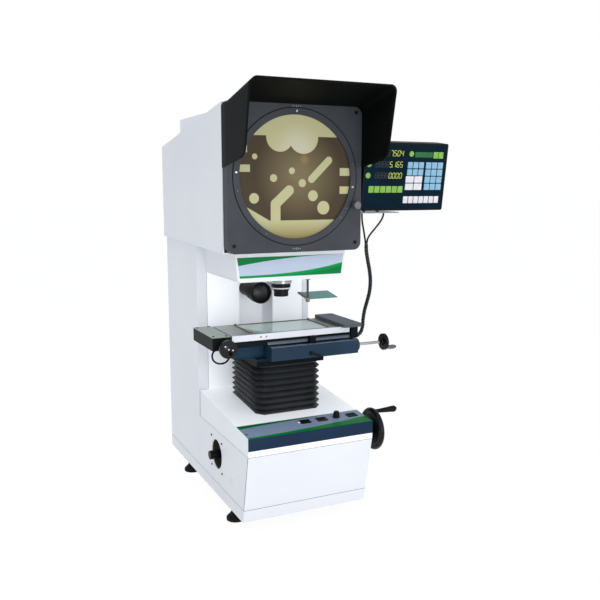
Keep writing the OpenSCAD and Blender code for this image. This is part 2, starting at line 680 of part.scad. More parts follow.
module belt_loop(r) {
    run = norm([screw_y - focus_y, drive_z - focus_z]);
    translate([focus_y, focus_z]) rotate(atan2(drive_z - focus_z, screw_y - focus_y)) {
        circle(r);
        translate([run, 0]) circle(r);
        translate([0, -r]) square([run, 2 * r]);
    }
}
module drive_belt() color("#1c1d1f") along_x([belt_x, belt_x + belt_w]) difference() {
    belt_loop(pulley_r + belt_t);
    belt_loop(pulley_r);
}
module pulley(y, z) {
    rod_x([belt_x, belt_x + belt_w], y, z, pulley_r - 0.3);
    for (x = [belt_x - 3, belt_x + belt_w]) rod_x([x + 0.2, x + 2.8], y, z, pulley_r + belt_t + 2);
}
module drive_shaft() color("#8f9296") {
    rod_x([bevel_near, belt_x + belt_w + 6], screw_y, drive_z, journal_r);
    turned_x(0, screw_y, drive_z) polygon([[0, bevel_near], [bevel_near - 0.4, bevel_near],
        [bevel_far - 0.4, bevel_far], [14, bevel_far + 8], [0, bevel_far + 8]]);
    pulley(screw_y, drive_z);
}
module focus_wheel() color("#17181a") {
    rod_x([belt_x - 28, focus_x], focus_y, focus_z, journal_r);
    pulley(focus_y, focus_z);
    turned_x(focus_x, focus_y, focus_z) {
        polygon([[0, -16], [15, -16], [17, -6], [focus_r - 14, -4],
            [focus_r - 14, 4], [17, 6], [12, 9], [0, 9]]);
        translate([focus_r - 8, 0]) circle(8);
    }
    rod_x([focus_x, focus_x + 13 + grip_l], focus_y, focus_z + focus_pin, 3.5);
    rod_x([focus_x + 11 + grip_l, focus_x + 13 + grip_l], focus_y, focus_z + focus_pin, 5);
    rod_x([focus_x, focus_x + 10], focus_y, focus_z + focus_pin, 6);
}
module focus_grip() color("#101113") difference() {
    turned_x(focus_x + 10 + pass_gap, focus_y, focus_z + focus_pin)
        polygon(concat([[0, 0], [6, 0], [5.2, 8], [8.5, grip_l - 6]],
        arc_pts([4.5, grip_l - 4], 4, 0, 90), [[0, grip_l]]));
    rod_x([focus_x, focus_x + 20 + grip_l], focus_y, focus_z + focus_pin, 3.5 + fit);
}

// Bellows: rings of eight corners, wide and narrow in turn, outside up and inside down
function bellows_ring(i, in) =
    let (k = i / (2 * pleats), d = in + (i % 2 == 0 ? 0 : pleat_in), x = bellows_x - d,
        y0 = bellows_y[0] + d, y1 = bellows_y[1] - d, c = bellows_cut)
    [for (p = [[-x, y0 + c], [-x + c, y0], [x - c, y0], [x, y0 + c],
    [x, y1 - c], [x - c, y1], [-x + c, y1], [-x, y1 - c]])
        [p[0], p[1], (deck(p[1]) + 0.3) * (1 - k) + (saddle_z - 0.3) * k]];
module bellows() color("#2a2b2d") {
    n = 2 * pleats;
    rings = concat([for (i = [0:n]) bellows_ring(i, 0)], [for (i = [n:-1:0]) bellows_ring(i, bellows_t)]);
    m = len(rings);
    polyhedron([for (r = rings) each r], [for (i = [0:m - 1], k = [0:7])
        [i * 8 + k, ((i + 1) % m) * 8 + k, ((i + 1) % m) * 8 + (k + 1) % 8, i * 8 + (k + 1) % 8]]);
}

// Stage
module saddle() color("#2b4a66") difference() {
    union() {
        box([-bellows_x - 4, bellows_x + 4], [bellows_y[0] - 2, bellows_y[1] + 2],
            [saddle_z, saddle_z + 20]);
        box([-saddle_x, saddle_x], [saddle_front, bellows_y[1] + 2], [saddle_z + 20, saddle_top]);
        for (y = [[-44, -37], [40, 55]])
            box([-saddle_x, saddle_x], y, [saddle_top - 1, carriage_z - slide_gap]);
        box([saddle_x - 1, saddle_x + 68], [38, 62], [saddle_z + 23, saddle_z + 39]);
        rod_x([saddle_x + 67, saddle_x + 76], 50, saddle_z + 31, 8);
    }
    rod_z([saddle_z - 1, stage_z], 0, 0, light_r);
}
module x_drive_bar() color("#2b4a66") difference() {
    union() {
        box([bar_x[0], bar_x[1] - 6], bar_y, bar_z);
        rod_x([bar_x[1] - 7, bar_x[1] + 4], x_axis_y, x_axis_z, (bar_z[1] - bar_z[0]) / 2 - 0.5);
    }
    rod_x([bar_x[0] + 8, bar_x[1] + 5], x_axis_y, x_axis_z, journal_r + fit);
    box([x_nut_x - travel_x / 2 - nut_w / 2 - 4, x_nut_x + travel_x / 2 + nut_w / 2 + 4],
        [x_axis_y - 11, x_axis_y + 11], [bar_z[0] + 6, bar_z[1] + 1]);
}
module x_wheel() color("#17181a") {
    rod_x([bar_x[0] + 9, bar_x[1] + 8], x_axis_y, x_axis_z, journal_r);
    rod_x([bar_x[1] + 7, x_wheel_x + 10], x_axis_y, x_axis_z, 4);
    turned_x(x_wheel_x, x_axis_y, x_axis_z)
        polygon([[0, -6], [9, -6], [10, 0], [wheel_r - 1, 0], [wheel_r, 1],
        [wheel_r, 8], [wheel_r - 1, 9], [10, 10], [0, 11]]);
    rod_x([x_wheel_x + 8, x_wheel_x + 42], x_axis_y, x_axis_z - wheel_r + 6, 2.5);
    rod_x([x_wheel_x + 42, x_wheel_x + 44], x_axis_y, x_axis_z - wheel_r + 6, 3.5);
}
module x_grip() color("#101113") difference() {
    turned_x(x_wheel_x + 10, x_axis_y, x_axis_z - wheel_r + 6)
        polygon([[0, 0], [4, 0], [4, 6], [5.5, 12], [6, 24], [5, 31], [0, 31.5]]);
    rod_x([x_wheel_x, x_wheel_x + 60], x_axis_y, x_axis_z - wheel_r + 6, 2.5 + fit);
}
module y_wheel() color("#17181a") {
    rod_y([y_wheel_y - 4, table_d / 2], y_axis_x, y_axis_z, y_screw_r);
    turned_y(y_wheel_y - 14, y_axis_x, y_axis_z) polygon([[0, -1], [10, 0], [wheel_r - 1, 0], [wheel_r, 1],
        [wheel_r, 8], [wheel_r - 1, 9], [10, 10], [9, 14], [0, 14]]);
    rod_y([y_wheel_y - 26, y_wheel_y - 13], y_axis_x + 8, y_axis_z - 13, 4);
}
module carriage() color("#4a5257") difference() {
    union() {
        difference() {
            box([-block_in - 1, block_in + 1], [-70, table_d / 2], [carriage_z, carriage_z + carriage_t]);
            box([-light_r - travel_x / 2, light_r + travel_x / 2], [-36, 36], [carriage_z - 1, table_z]);
            box([-block_in - 2, -block_in + 36], [-travel_y / 2 - 10, travel_y / 2 + 10],
                [carriage_z - 1, table_z]);
        }
        difference() {
            box([-block_out, -block_in], [-table_d / 2 - 4, table_d / 2 + 2], [carriage_z, stage_z + 1]);
            box([y_axis_x - 8, -block_in + 1], [-travel_y / 2 - 10, travel_y / 2 + 10],
                [y_axis_z - 8, y_axis_z + 8]);
        }
        box([block_in, cover_out], [-table_d / 2, table_d / 2 + 2], [carriage_z, stage_z + 1]);
        for (x = [-135, 120])
            box([x, x + 15], [-table_d / 2 + 6, table_d / 2], [table_z - way_h - 1, table_z - slide_gap]);
        box([x_nut_x - nut_w / 2, x_nut_x + nut_w / 2], [x_axis_y - 9, -69],
            [x_axis_z - 9, carriage_z + carriage_t]);
    }
    rod_x([x_nut_x - nut_w, x_nut_x + nut_w], x_axis_y, x_axis_z, journal_r + fit);
    rod_y([-table_d, table_d / 2 + 1], y_axis_x, y_axis_z, y_screw_r + fit);
}
module scale_cover() color("#3c4247") difference() {
    translate([(cover_in + cover_out) / 2, -11, stage_z + 1])
        linear_extrude(9) round_rect(cover_out - cover_in, table_d + 26, 5);
    for (y = [-60, 55]) rod_z([stage_z + 6, stage_z + 11], (block_in + cover_out) / 2, y, 3.5);
}
module table() color("#8e968f") difference() {
    union() {
        box([-table_w / 2, table_w / 2], [-table_d / 2, table_d / 2], [table_z, stage_z]);
        box([-158, -146], [-7, 7], [y_axis_z - 7, table_z + 1]);
        box([y_axis_x - 7, -146], [-7, 7], [y_axis_z - 7, y_axis_z + 7]);
    }
    box([-glass_w / 2, glass_w / 2], [-glass_d / 2, glass_d / 2], [stage_z - glass_t, stage_z + 1]);
    box([-glass_w / 2 + glass_lap, glass_w / 2 - glass_lap],
        [-glass_d / 2 + glass_lap, glass_d / 2 - glass_lap],
        [table_z - 1, stage_z]);
    rod_y([-table_d, table_d], y_axis_x, y_axis_z, y_screw_r + fit);
    for (x = edge_holes) rod_y([-table_d / 2 - 1, -table_d / 2 + 12], x, stage_z - 8, edge_hole_r);
}
module stage_glass() color("#a9cfc4", 0.5)
    box([-glass_w / 2, glass_w / 2], [-glass_d / 2, glass_d / 2], [stage_z - glass_t, stage_z]);

// Readout and its bracket
module dro_bracket() color("#c9ccd2") {
    box([hx, dro_x + 115], [dro_y - 5, dro_y + dro_d + 18], [tray_z, tray_z + tray_t]);
    box([hx, hx + 3], [head_front + 4, dro_y + dro_d + 17], [tray_z - 40, tray_z + 1]);
    on_dro() {
        for (x = ear_xs) rod_x([x + ear_w + pass_gap, x + ear_w + 6], pivot_y, pivot_z, 5);
        rod_x([ear_xs[0] - 4, ear_xs[1] + ear_w + 8], pivot_y, pivot_z, pivot_r);
    }
    p = [dro_y + pivot_y * cos(dro_lean) - pivot_z * sin(dro_lean),
        dro_z + pivot_y * sin(dro_lean) + pivot_z * cos(dro_lean)];
    for (x = ear_xs)
        box([dro_x + x + ear_w + 1, dro_x + x + ear_w + 5.5], [p[0] - 4, p[0] + 4], [tray_z + 1, p[1]]);
}
module dro_casing() color("#0d1620") on_dro() difference() {
    union() {
        translate([dro_w / 2, 0, dro_h / 2]) along_y([0, dro_d]) round_rect(dro_w, dro_h, 5);
        for (x = ear_xs) {
            box([x, x + ear_w], [dro_d - 1, pivot_y], [pivot_z - 5, pivot_z + 5]);
            rod_x([x, x + ear_w], pivot_y, pivot_z, 6);
        }
    }
    box([5, dro_w - 5], [-1, 1.5], [5, dro_h - 5]);
    box([9, dro_w - 9], [1, dro_d - 5], [9, dro_h - 9]);
    rod_x([0, dro_w], pivot_y, pivot_z, pivot_r + fit);
    for (i = [0:7]) box([40, dro_w - 40], [dro_d - 4, dro_d + 1], [dro_h - 40 + i * 4, dro_h - 38 + i * 4]);
}
key_t = 0.8;
module key_block(x, z, nx, nz, w, h, gap)
    for (i = [0:nx - 1], k = [0:nz - 1])
        box([x + i * (w + gap), x + i * (w + gap) + w], [-key_t, 0.1],
            [z + k * (h + gap), z + k * (h + gap) + h]);
module dro_face() color("#0e2a45") on_dro() {
    box([5, dro_w - 5], [0, 1.5], [5, dro_h - 5]);
    key_block(24, 50, 6, 1, 14, 17, 2.4);
    key_block(138, 78, 3, 2, 14, 17, 2.4);
    key_block(198, 42, 3, 4, 13, 17, 2.4);
    key_block(138, 39, 2, 2, 22, 17, 2.8);
    key_block(132, 14, 7, 1, 13.5, 17, 2.4);
    key_block(206, 132, 2, 1, 15, 17, 1.5);
    for (z = [84, 112, 140]) rod_y([-key_t, 0.1], 24, z, 7);
    rod_y([-key_t, 0.1], 146, 140, 7);
}

// Cords
module lead_left() color("#18191b") tube(lead_left_path, lead_d);
module lead_right() color("#18191b") tube(lead_right_path, lead_d);
module bundle() color("#18191b") tube(bundle_path, bundle_d, 10);
module scale_lead() color("#18191b") tube(scale_lead_path, lead_d);

// The origin is on the bench, midway between the feet
translate([0, -feet_mid, 0]) {
    base_pan();
    base_top();
    front_panel();
    front_band();
    control_panel();
    screws();
    side_cover_left();
    side_cover_right();
    column_frame();
    rear_cover();
    mains_inlet();
    feet();
    head_casing();
    mirrors();
    screen_frame();
    hood();
    chin();
    lens_mount();
    lens_barrel();
    lens_glass();
    illuminator();
    mirror_pin();
    lamp_house();
    profile_lamp();
    knob_well();
    lift_guide();
    drive_belt();
    dro_bracket();
    lead_left();
    lead_right();
    bundle();
    scale_lead();
    screen_ring();
    ground_glass();
    screen_knob();
    mirror_arm();
    half_mirror();
    condenser();
    condenser_knob();
    lift_post();
    saddle();
    x_drive_bar();
    bellows();
    lead_screw();
    drive_shaft();
    focus_wheel();
    focus_grip();
    carriage();
    scale_cover();
    table();
    stage_glass();
    x_wheel();
    x_grip();
    y_wheel();
    rocker_lamp();
    rocker_profile();
    rocker_surface();
    dimmer_knob();
    dro_casing();
    dro_face();
}
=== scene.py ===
import bpy
import bmesh
import math
import numpy as np
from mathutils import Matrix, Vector


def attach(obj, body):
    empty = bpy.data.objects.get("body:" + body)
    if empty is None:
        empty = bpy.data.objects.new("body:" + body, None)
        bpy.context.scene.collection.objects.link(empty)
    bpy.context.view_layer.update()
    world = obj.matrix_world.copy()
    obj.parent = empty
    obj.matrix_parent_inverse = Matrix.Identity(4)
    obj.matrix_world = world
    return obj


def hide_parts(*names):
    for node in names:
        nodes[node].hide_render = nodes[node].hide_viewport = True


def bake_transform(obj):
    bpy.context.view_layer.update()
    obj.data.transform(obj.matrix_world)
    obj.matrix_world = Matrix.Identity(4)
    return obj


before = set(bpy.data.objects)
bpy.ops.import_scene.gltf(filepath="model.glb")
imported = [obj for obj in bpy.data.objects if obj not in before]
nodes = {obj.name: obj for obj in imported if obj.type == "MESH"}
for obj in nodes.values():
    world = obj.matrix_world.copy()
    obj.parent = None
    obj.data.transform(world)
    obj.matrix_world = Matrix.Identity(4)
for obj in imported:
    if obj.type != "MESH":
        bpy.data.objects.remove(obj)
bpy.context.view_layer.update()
print("frame loaded:", len(nodes), "nodes")

# Places and sizes are in mm from the optical axis unless a note says otherwise
axisBack = 138.5  # the optical axis is this far ahead of the row's origin
screenMid = 890.0  # height of the screen's centre
stageTop = 495.0  # height of the stage glass
deck = {"front": -194, "low": 263, "rise": 30, "run": 374}  # the base's top slopes up to the column
collection = bpy.context.scene.collection


# Millimetres set out from the optical axis become metres in the row frame
def toRow(points):
    return (np.asarray(points, float) - [0.0, axisBack, 0.0]) / 1000.0


def rowY(y):
    return (y - axisBack) / 1000


def deckAt(y):
    return deck["low"] + deck["rise"] * (y - deck["front"]) / deck["run"]


# An sRGB hex value becomes linear light
def hexLinear(code, alpha=1.0):
    srgb = np.array([int(code[i:i + 2], 16) for i in (1, 3, 5)]) / 255.0
    lin = np.where(srgb <= 0.04045, srgb / 12.92, ((srgb + 0.055) / 1.055) ** 2.4)
    return (*lin.tolist(), alpha)


# Sets a node's inputs, and links those given as (node, output)
def setInputs(tree, node, inputs):
    for key, value in inputs.items():
        if isinstance(value, tuple) and len(value) == 2 and hasattr(value[0], "outputs"):
            tree.links.new(value[0].outputs[value[1]], node.inputs[key])
        else:
            node.inputs[key].default_value = value


def addNode(tree, kind, props=None, inputs=None):
    node = tree.nodes.new(kind)
    for key, value in (props or {}).items():
        setattr(node, key, value)
    setInputs(tree, node, inputs or {})
    return node


# Short forms of the nodes used most
def mathNode(tree, operation, *values):
    return addNode(tree, "ShaderNodeMath", {"operation": operation}, dict(enumerate(values)))


def vectorNode(tree, operation, *values):
    return addNode(tree, "ShaderNodeVectorMath", {"operation": operation}, dict(enumerate(values)))


def rangeNode(tree, value, start, end, low=0.0, high=1.0, kind="LINEAR"):
    return addNode(tree, "ShaderNodeMapRange", {"interpolation_type": kind},
                   {"Value": value, "From Min": start, "From Max": end, "To Min": low, "To Max": high})


def mixNode(tree, factor, first, second):
    return addNode(tree, "ShaderNodeMix", {"data_type": "RGBA"}, {"Factor": factor, 6: first, 7: second})


def noiseNode(tree, vector, scale, detail=2.0):
    return addNode(tree, "ShaderNodeTexNoise", inputs={"Vector": vector, "Scale": scale, "Detail": detail})


def bumpNode(tree, height, strength, distance):
    return addNode(tree, "ShaderNodeBump",
                   inputs={"Height": height, "Strength": strength, "Distance": distance})


def newMaterial(name):
    mat = bpy.data.materials.new(name)
    mat.use_nodes = True
    tree = mat.node_tree
    tree.nodes.clear()
    shader = addNode(tree, "ShaderNodeBsdfPrincipled")
    addNode(tree, "ShaderNodeOutputMaterial", inputs={0: (shader, 0)})
    coord = addNode(tree, "ShaderNodeTexCoord")
    return mat, tree, shader, coord


def findNode(mat, kind):
    return next(n for n in mat.node_tree.nodes if n.type == kind)


# A surface finish: a broad cloud in the colour, a fine grain in bump and roughness
# cloud and grain are real sizes in mm, stretch pulls the grain along one axis as brushing does
def surfaceFinish(name, colour, dark, rough, grain, bump=0.1, metallic=0.0, cloud=90.0,
                  stretch=(1, 1, 1), coat=0.0, spec=0.5):
    mat, tree, shader, coord = newMaterial(name)
    cloudEdges, roughSpan, bumpHeight = (0.35, 0.65), 0.12, grain / 3000.0
    broad = noiseNode(tree, (coord, "Object"), 1000.0 / cloud, 4.0)
    ramp = addNode(tree, "ShaderNodeValToRGB", inputs={"Fac": (broad, 0)})
    for stop, place, code in zip(ramp.color_ramp.elements, cloudEdges, (dark, colour)):
        stop.position, stop.color = place, hexLinear(code)
    pull = addNode(tree, "ShaderNodeMapping", inputs={"Vector": (coord, "Object"), "Scale": stretch})
    fine = noiseNode(tree, (pull, 0), 1000.0 / grain, 3.0)
    spread = rangeNode(tree, (fine, 0), 0.0, 1.0, rough - roughSpan / 2, rough + roughSpan / 2)
    lift = bumpNode(tree, (fine, 0), bump, bumpHeight)
    setInputs(tree, shader, {"Base Color": (ramp, 0), "Roughness": (spread, 0), "Normal": (lift, 0),
                             "Metallic": metallic, "Coat Weight": coat, "Specular IOR Level": spec})
    return mat


# In each line: name, colour, its darker tone, roughness, grain, bump and, where not 0, metallic
finishes = {
    # powder-coated steel: near white with a faint blue, fine orange peel
    "enamel": surfaceFinish("steelPowderCoatWhite", "#F1F3F7", "#EDF0F5", 0.42, 1.5, 0.1, cloud=260.0),
    # cast aluminium painted dark grey, satin
    "frameGrey": surfaceFinish("aluminiumPaintDarkGrey", "#45484D", "#3D4045", 0.5, 0.9, 0.2, spec=0.18),
    # sheet steel in matt crackle black, its grain drawn large so that it shows
    "hoodBlack": surfaceFinish("steelCracklePaintBlack", "#0A0D0C", "#060808", 0.62, 1.2, 0.35, spec=0.1),
    # anodised or turned metal of the lens and knobs
    "lensBlack": surfaceFinish("aluminiumAnodisedBlack", "#0E0F11", "#090A0B", 0.36, 0.6, 0.1, spec=0.15),
    "lensSteel": surfaceFinish("steelTurnedBright", "#B9BBC0", "#9FA2A8", 0.28, 0.5, 0.1, 1.0,
                               stretch=(1, 1, 6)),
    "knobGrey": surfaceFinish("aluminiumAnodisedGrey", "#70747B", "#62666D", 0.36, 0.6, 0.12, 0.6),
    # moulded phenolic, slightly glossy
    "wheelBlack": surfaceFinish("phenolicMouldedBlack", "#0D0E10", "#08090A", 0.28, 2.0, 0.06, coat=0.1,
                                spec=0.18),
    "plasticBlack": surfaceFinish("absMouldedBlack", "#0F1012", "#0A0B0C", 0.42, 0.7, 0.15, spec=0.15),
    "footRubber": surfaceFinish("rubberMouldedBlack", "#101113", "#0A0B0C", 0.6, 0.8, 0.2, spec=0.18),
    "cordSkin": surfaceFinish("pvcCableBlack", "#111215", "#0B0C0E", 0.42, 1.5, 0.1, spec=0.18),
    # painted cast iron of the bar, deep blue
    "stageBlue": surfaceFinish("castIronPaintBlue", "#1C374D", "#173043", 0.4, 1.4, 0.12, spec=0.18),
    # ground cast iron top with a grey-green cast, grind lines along X
    "tableGrey": surfaceFinish("castIronGroundGreyGreen", "#929A94", "#848D87", 0.38, 0.9, 0.15, 0.2,
                               stretch=(0.06, 1, 1)),
    "carriageGrey": surfaceFinish("aluminiumPaintCharcoal", "#121A1E", "#0D1417", 0.46, 1.0, 0.14,
                                  spec=0.06),
    "bellowsCloth": surfaceFinish("coatedFabricBlack", "#292C2F", "#1D1F21", 0.42, 0.8, 0.3, spec=0.4),
    "bandNavy": surfaceFinish("polyesterFilmNavy", "#15304A", "#112942", 0.36, 1.2, 0.06, spec=0.15),
    "wellOlive": surfaceFinish("absMouldedOlive", "#3D3B2E", "#333126", 0.55, 0.9, 0.2),
    "traySteel": surfaceFinish("steelPaintLightGrey", "#8E9296", "#83878B", 0.4, 1.3, 0.1),
    "droShell": surfaceFinish("steelPaintBlack", "#0B0F14", "#070A0E", 0.42, 1.0, 0.15, spec=0.15),
    "pinDark": surfaceFinish("steelBlackened", "#4A453F", "#3C3833", 0.35, 0.5, 0.08, 0.7),
    "armOlive": surfaceFinish("brassPlateDull", "#8D8670", "#7C765F", 0.42, 0.7, 0.1, 0.3),
    "brass": surfaceFinish("brassTurned", "#A68C5C", "#8F774A", 0.25, 0.5, 0.08, 1.0),
    "innerGrey": surfaceFinish("aluminiumCastGrey", "#6C7075", "#5E6267", 0.5, 1.0, 0.2, 0.4),
    "chromeBright": surfaceFinish("steelChromed", "#D8DADE", "#C8CBD0", 0.12, 0.5, 0.03, 1.0),
    "whitePlastic": surfaceFinish("absMouldedWhite", "#ECEEF0", "#E2E5E8", 0.4, 0.8, 0.1),
    "mirrorGlass": surfaceFinish("glassSilvered", "#DDE3E8", "#D2D9DF", 0.06, 5.0, 0.0, 1.0),
}


# Clear or tinted glass: part transmission with a real index, its roughness uneven by a faint haze
def glassFinish(name, colour, rough, weight):
    mat, tree, shader, coord = newMaterial(name)
    hazeScale, hazeSpan, crownIndex = 60.0, 0.03, 1.52
    haze = noiseNode(tree, (coord, "Object"), hazeScale)
    spread = rangeNode(tree, (haze, 0), 0.0, 1.0, rough, rough + hazeSpan)
    setInputs(tree, shader, {"Roughness": (spread, 0), "Base Color": hexLinear(colour),
                             "Transmission Weight": weight, "IOR": crownIndex})
    return mat


finishes["stageGlass"] = glassFinish("floatGlassPolished", "#D6F0E9", 0.02, 0.3)
finishes["coatedGlass"] = glassFinish("beamSplitterCoatedTeal", "#009083", 0.12, 0.1)
finishes["lensGlass"] = glassFinish("crownGlassCoated", "#1E2A33", 0.02, 0.5)
finishes["smokedGlass"] = glassFinish("crownGlassSmoked", "#0B0F11", 0.35, 0.2)


# Blends a second colour into a finish, from one value to another along an axis of the row frame; it draws
# real bands on the table and the end block, and painted shade and reflection on the saddle and the
# carriage's land
def blendAlongAxis(mat, axis, start, end, colour):
    tree, shader = mat.node_tree, findNode(mat, "BSDF_PRINCIPLED")
    axes = addNode(tree, "ShaderNodeSeparateXYZ", inputs={0: (findNode(mat, "TEX_COORD"), "Object")})
    part = rangeNode(tree, (axes, axis), start, end)
    was = shader.inputs["Base Color"].links[0].from_node
    tint = mixNode(tree, (part, 0), (was, 0), hexLinear(colour))
    setInputs(tree, shader, {"Base Color": (tint, 2)})


nodeFinish = {
    "enamel": ["base_pan", "base_top", "front_panel", "side_cover_left", "side_cover_right",
               "column_frame", "rear_cover", "head_casing", "chin"],
    "bandNavy": ["front_band"],
    "frameGrey": ["screen_frame", "screen_ring"],
    "hoodBlack": ["hood"],
    "plasticBlack": ["screws", "mains_inlet", "rocker_lamp", "rocker_profile", "rocker_surface",
                     "dimmer_knob", "condenser_knob", "focus_grip"],
    "footRubber": ["feet", "drive_belt"],
    "mirrorGlass": ["mirrors"],
    "lensSteel": ["lens_mount", "lift_post", "lead_screw", "drive_shaft"],
    "pinDark": ["mirror_pin"],
    "armOlive": ["mirror_arm"],
    "lensBlack": ["lens_barrel", "illuminator"],
    "lensGlass": ["lens_glass", "profile_lamp"],
    "coatedGlass": ["half_mirror"],
    "innerGrey": ["lamp_house", "condenser", "lift_guide"],
    "wellOlive": ["knob_well"],
    "traySteel": ["dro_bracket"],
    "knobGrey": ["screen_knob", "x_grip"],
    "stageBlue": ["x_drive_bar"],
    "wheelBlack": ["focus_wheel", "x_wheel", "y_wheel"],
    "carriageGrey": ["carriage"],
    "tableGrey": ["table"],
    "stageGlass": ["stage_glass"],
    "droShell": ["dro_casing"],
}


def dress(node, mat):
    slots = nodes[node].material_slots
    if len(slots) == 0:
        nodes[node].data.materials.append(mat)
    for slot in slots:
        slot.material = mat


for finish, names in nodeFinish.items():
    for nodeName in names:
        dress(nodeName, finishes[finish])
print("CAD nodes dressed")


# A grid of points becomes quads; wrap joins the last column to the first
def gridFaces(nu, nv, wrap=True):
    u = np.arange(nu - 1)[:, None]
    v = np.arange(nv if wrap else nv - 1)[None, :]
    v2 = (v + 1) % nv
    quads = np.stack([u * nv + v, u * nv + v2, (u + 1) * nv + v2, (u + 1) * nv + v], axis=-1)
    return quads.reshape(-1, 4)


# A stack of rings becomes a surface, closed to a point in the middle of its first and last ring
def closedStack(rings):
    n = rings.shape[1]
    ends = [np.repeat(ring.mean(1, keepdims=True), n, axis=1) for ring in (rings[:1], rings[-1:])]
    pts = np.concatenate([ends[0], rings, ends[1]])
    return pts.reshape(-1, 3), gridFaces(len(pts), n)


# Outline of a rounded rectangle: four quarter circles joined by straight sides
def roundRect(halfW, halfH, r, per=6):
    least = 1e-6
    r = max(min(r, halfW - least, halfH - least), least)
    quarter = np.linspace(0, np.pi / 2, per)
    sides = []
    for k, (sx, sy) in enumerate([(1, 1), (-1, 1), (-1, -1), (1, -1)]):
        a = quarter + k * np.pi / 2
        x, y = sx * (halfW - r) + r * np.cos(a), sy * (halfH - r) + r * np.sin(a)
        sides.append(np.stack([x, y], axis=1))
    return np.concatenate(sides)


# A tile: rounded outlines stacked at heights, each drawn in by its inset
def tile(halfW, halfH, r, levels, per=6):
    rings = []
    for inset, height in levels:
        flat = roundRect(halfW - inset, halfH - inset, r - inset, per)
        rings.append(np.column_stack([flat, np.full(len(flat), height)]))
    return closedStack(np.stack(rings))


# A thin tile that starts a little below the face it lies on
def plate(halfW, halfH, r, thick, sunk=0.2):
    return tile(halfW, halfH, r, [(0, -sunk), (0, thick)], 3)


# A turned shape: a profile of (radius, height) swept round the height axis
def turned(profile, n=32):
    profile = np.asarray(profile, float)
    a = np.linspace(0, 2 * np.pi, n, endpoint=False)
    pts = np.stack([profile[:, :1] * np.cos(a), profile[:, :1] * np.sin(a),
                    np.repeat(profile[:, 1:], n, axis=1)], axis=-1)
    return pts.reshape(-1, 3), gridFaces(len(profile), n)


# Turns a shape's own (u, v, w) to given directions and carries it to a point
def placed(shape, origin, u=(1, 0, 0), v=(0, 1, 0), w=(0, 0, 1)):
    pts, faces = shape
    return pts @ np.array([u, v, w], float) + np.asarray(origin, float), faces


# Directions for a shape laid on a face that looks forward, to the left, or up as the deck does
tilt = math.atan(deck["rise"] / deck["run"])
front = {"u": (1, 0, 0), "v": (0, 0, 1), "w": (0, -1, 0)}
sideways = {"u": (0, 1, 0), "v": (0, 0, 1), "w": (-1, 0, 0)}
deckUp = {"u": (1, 0, 0), "v": (0, math.cos(tilt), math.sin(tilt)),
          "w": (0, -math.sin(tilt), math.cos(tilt))}


# A path smoothed by a Catmull-Rom spline and sampled finely
def smoothPath(points, per=8):
    p = np.asarray(points, float)
    p = np.vstack([2 * p[0] - p[1], p, 2 * p[-1] - p[-2]])
    t = np.linspace(0, 1, per, endpoint=False)[:, None, None]
    a, b, c, d = p[:-3], p[1:-2], p[2:-1], p[3:]
    run = 0.5 * (2 * b + (c - a) * t + (2 * a - 5 * b + 4 * c - d) * t ** 2
                 + (3 * b - a - 3 * c + d) * t ** 3)
    return np.vstack([run.transpose(1, 0, 2).reshape(-1, 3), p[-2]])


# Directions along a path, and two directions square to it
def pathFrames(p):
    t = np.gradient(p, axis=0)
    t /= np.linalg.norm(t, axis=1, keepdims=True)
    nearY = np.abs(t[:, 1:2]) > 0.95
    u = np.cross(t, np.where(nearY, [[1.0, 0.0, 0.0]], [[0.0, 1.0, 0.0]]))
    u /= np.linalg.norm(u, axis=1, keepdims=True)
    return t, u, np.cross(u, t)


# A tube: a circle carried along a path, with flat ends
def tube(path, radius, n=14):
    t, u, v = pathFrames(path)
    a = np.linspace(0, 2 * np.pi, n, endpoint=False)[:, None]
    return closedStack(path[:, None] + radius * (np.cos(a) * u[:, None] + np.sin(a) * v[:, None]))


# Shapes in mm become one object that rides on a body
def makePiece(name, shapes, mat, body, replaces=(), smooth=30.0):
    weld = 2e-6  # in metres
    verts, faces, start = [], [], 0
    for pts, quads in shapes:
        verts.append(pts)
        faces.append(quads + start)
        start += len(pts)
    mesh = bpy.data.meshes.new(name)
    mesh.from_pydata(toRow(np.concatenate(verts)).tolist(), [], np.concatenate(faces).tolist())
    work = bmesh.new()
    work.from_mesh(mesh)
    bmesh.ops.remove_doubles(work, verts=work.verts, dist=weld)
    bmesh.ops.recalc_face_normals(work, faces=work.faces)
    work.to_mesh(mesh)
    work.free()
    mesh.shade_smooth()
    mesh.set_sharp_from_angle(angle=math.radians(smooth))
    obj = bpy.data.objects.new(name, mesh)
    collection.objects.link(obj)
    mesh.materials.append(mat)
    if body:
        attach(obj, body)
    if replaces:
        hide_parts(*replaces)
    return obj


# Turns a camera or lamp so that it looks along a direction
def lookAlong(obj, direction):
    obj.rotation_euler = Vector(direction).to_track_quat("-Z", "Y").to_euler()


# Places of the camera and the lamps are in metres in the row frame
camera = {"lens": 44.98, "sensor": 36.0, "place": (-0.8004, -1.9574, 0.8658),
          "look": (0.4213, 0.8946, -0.1490)}
camData = bpy.data.cameras.new("viewCamera")
camData.lens, camData.sensor_width = camera["lens"], camera["sensor"]
cam = bpy.data.objects.new("viewCamera", camData)
cam.location = camera["place"]
lookAlong(cam, camera["look"])
collection.objects.link(cam)
bpy.context.scene.camera = cam

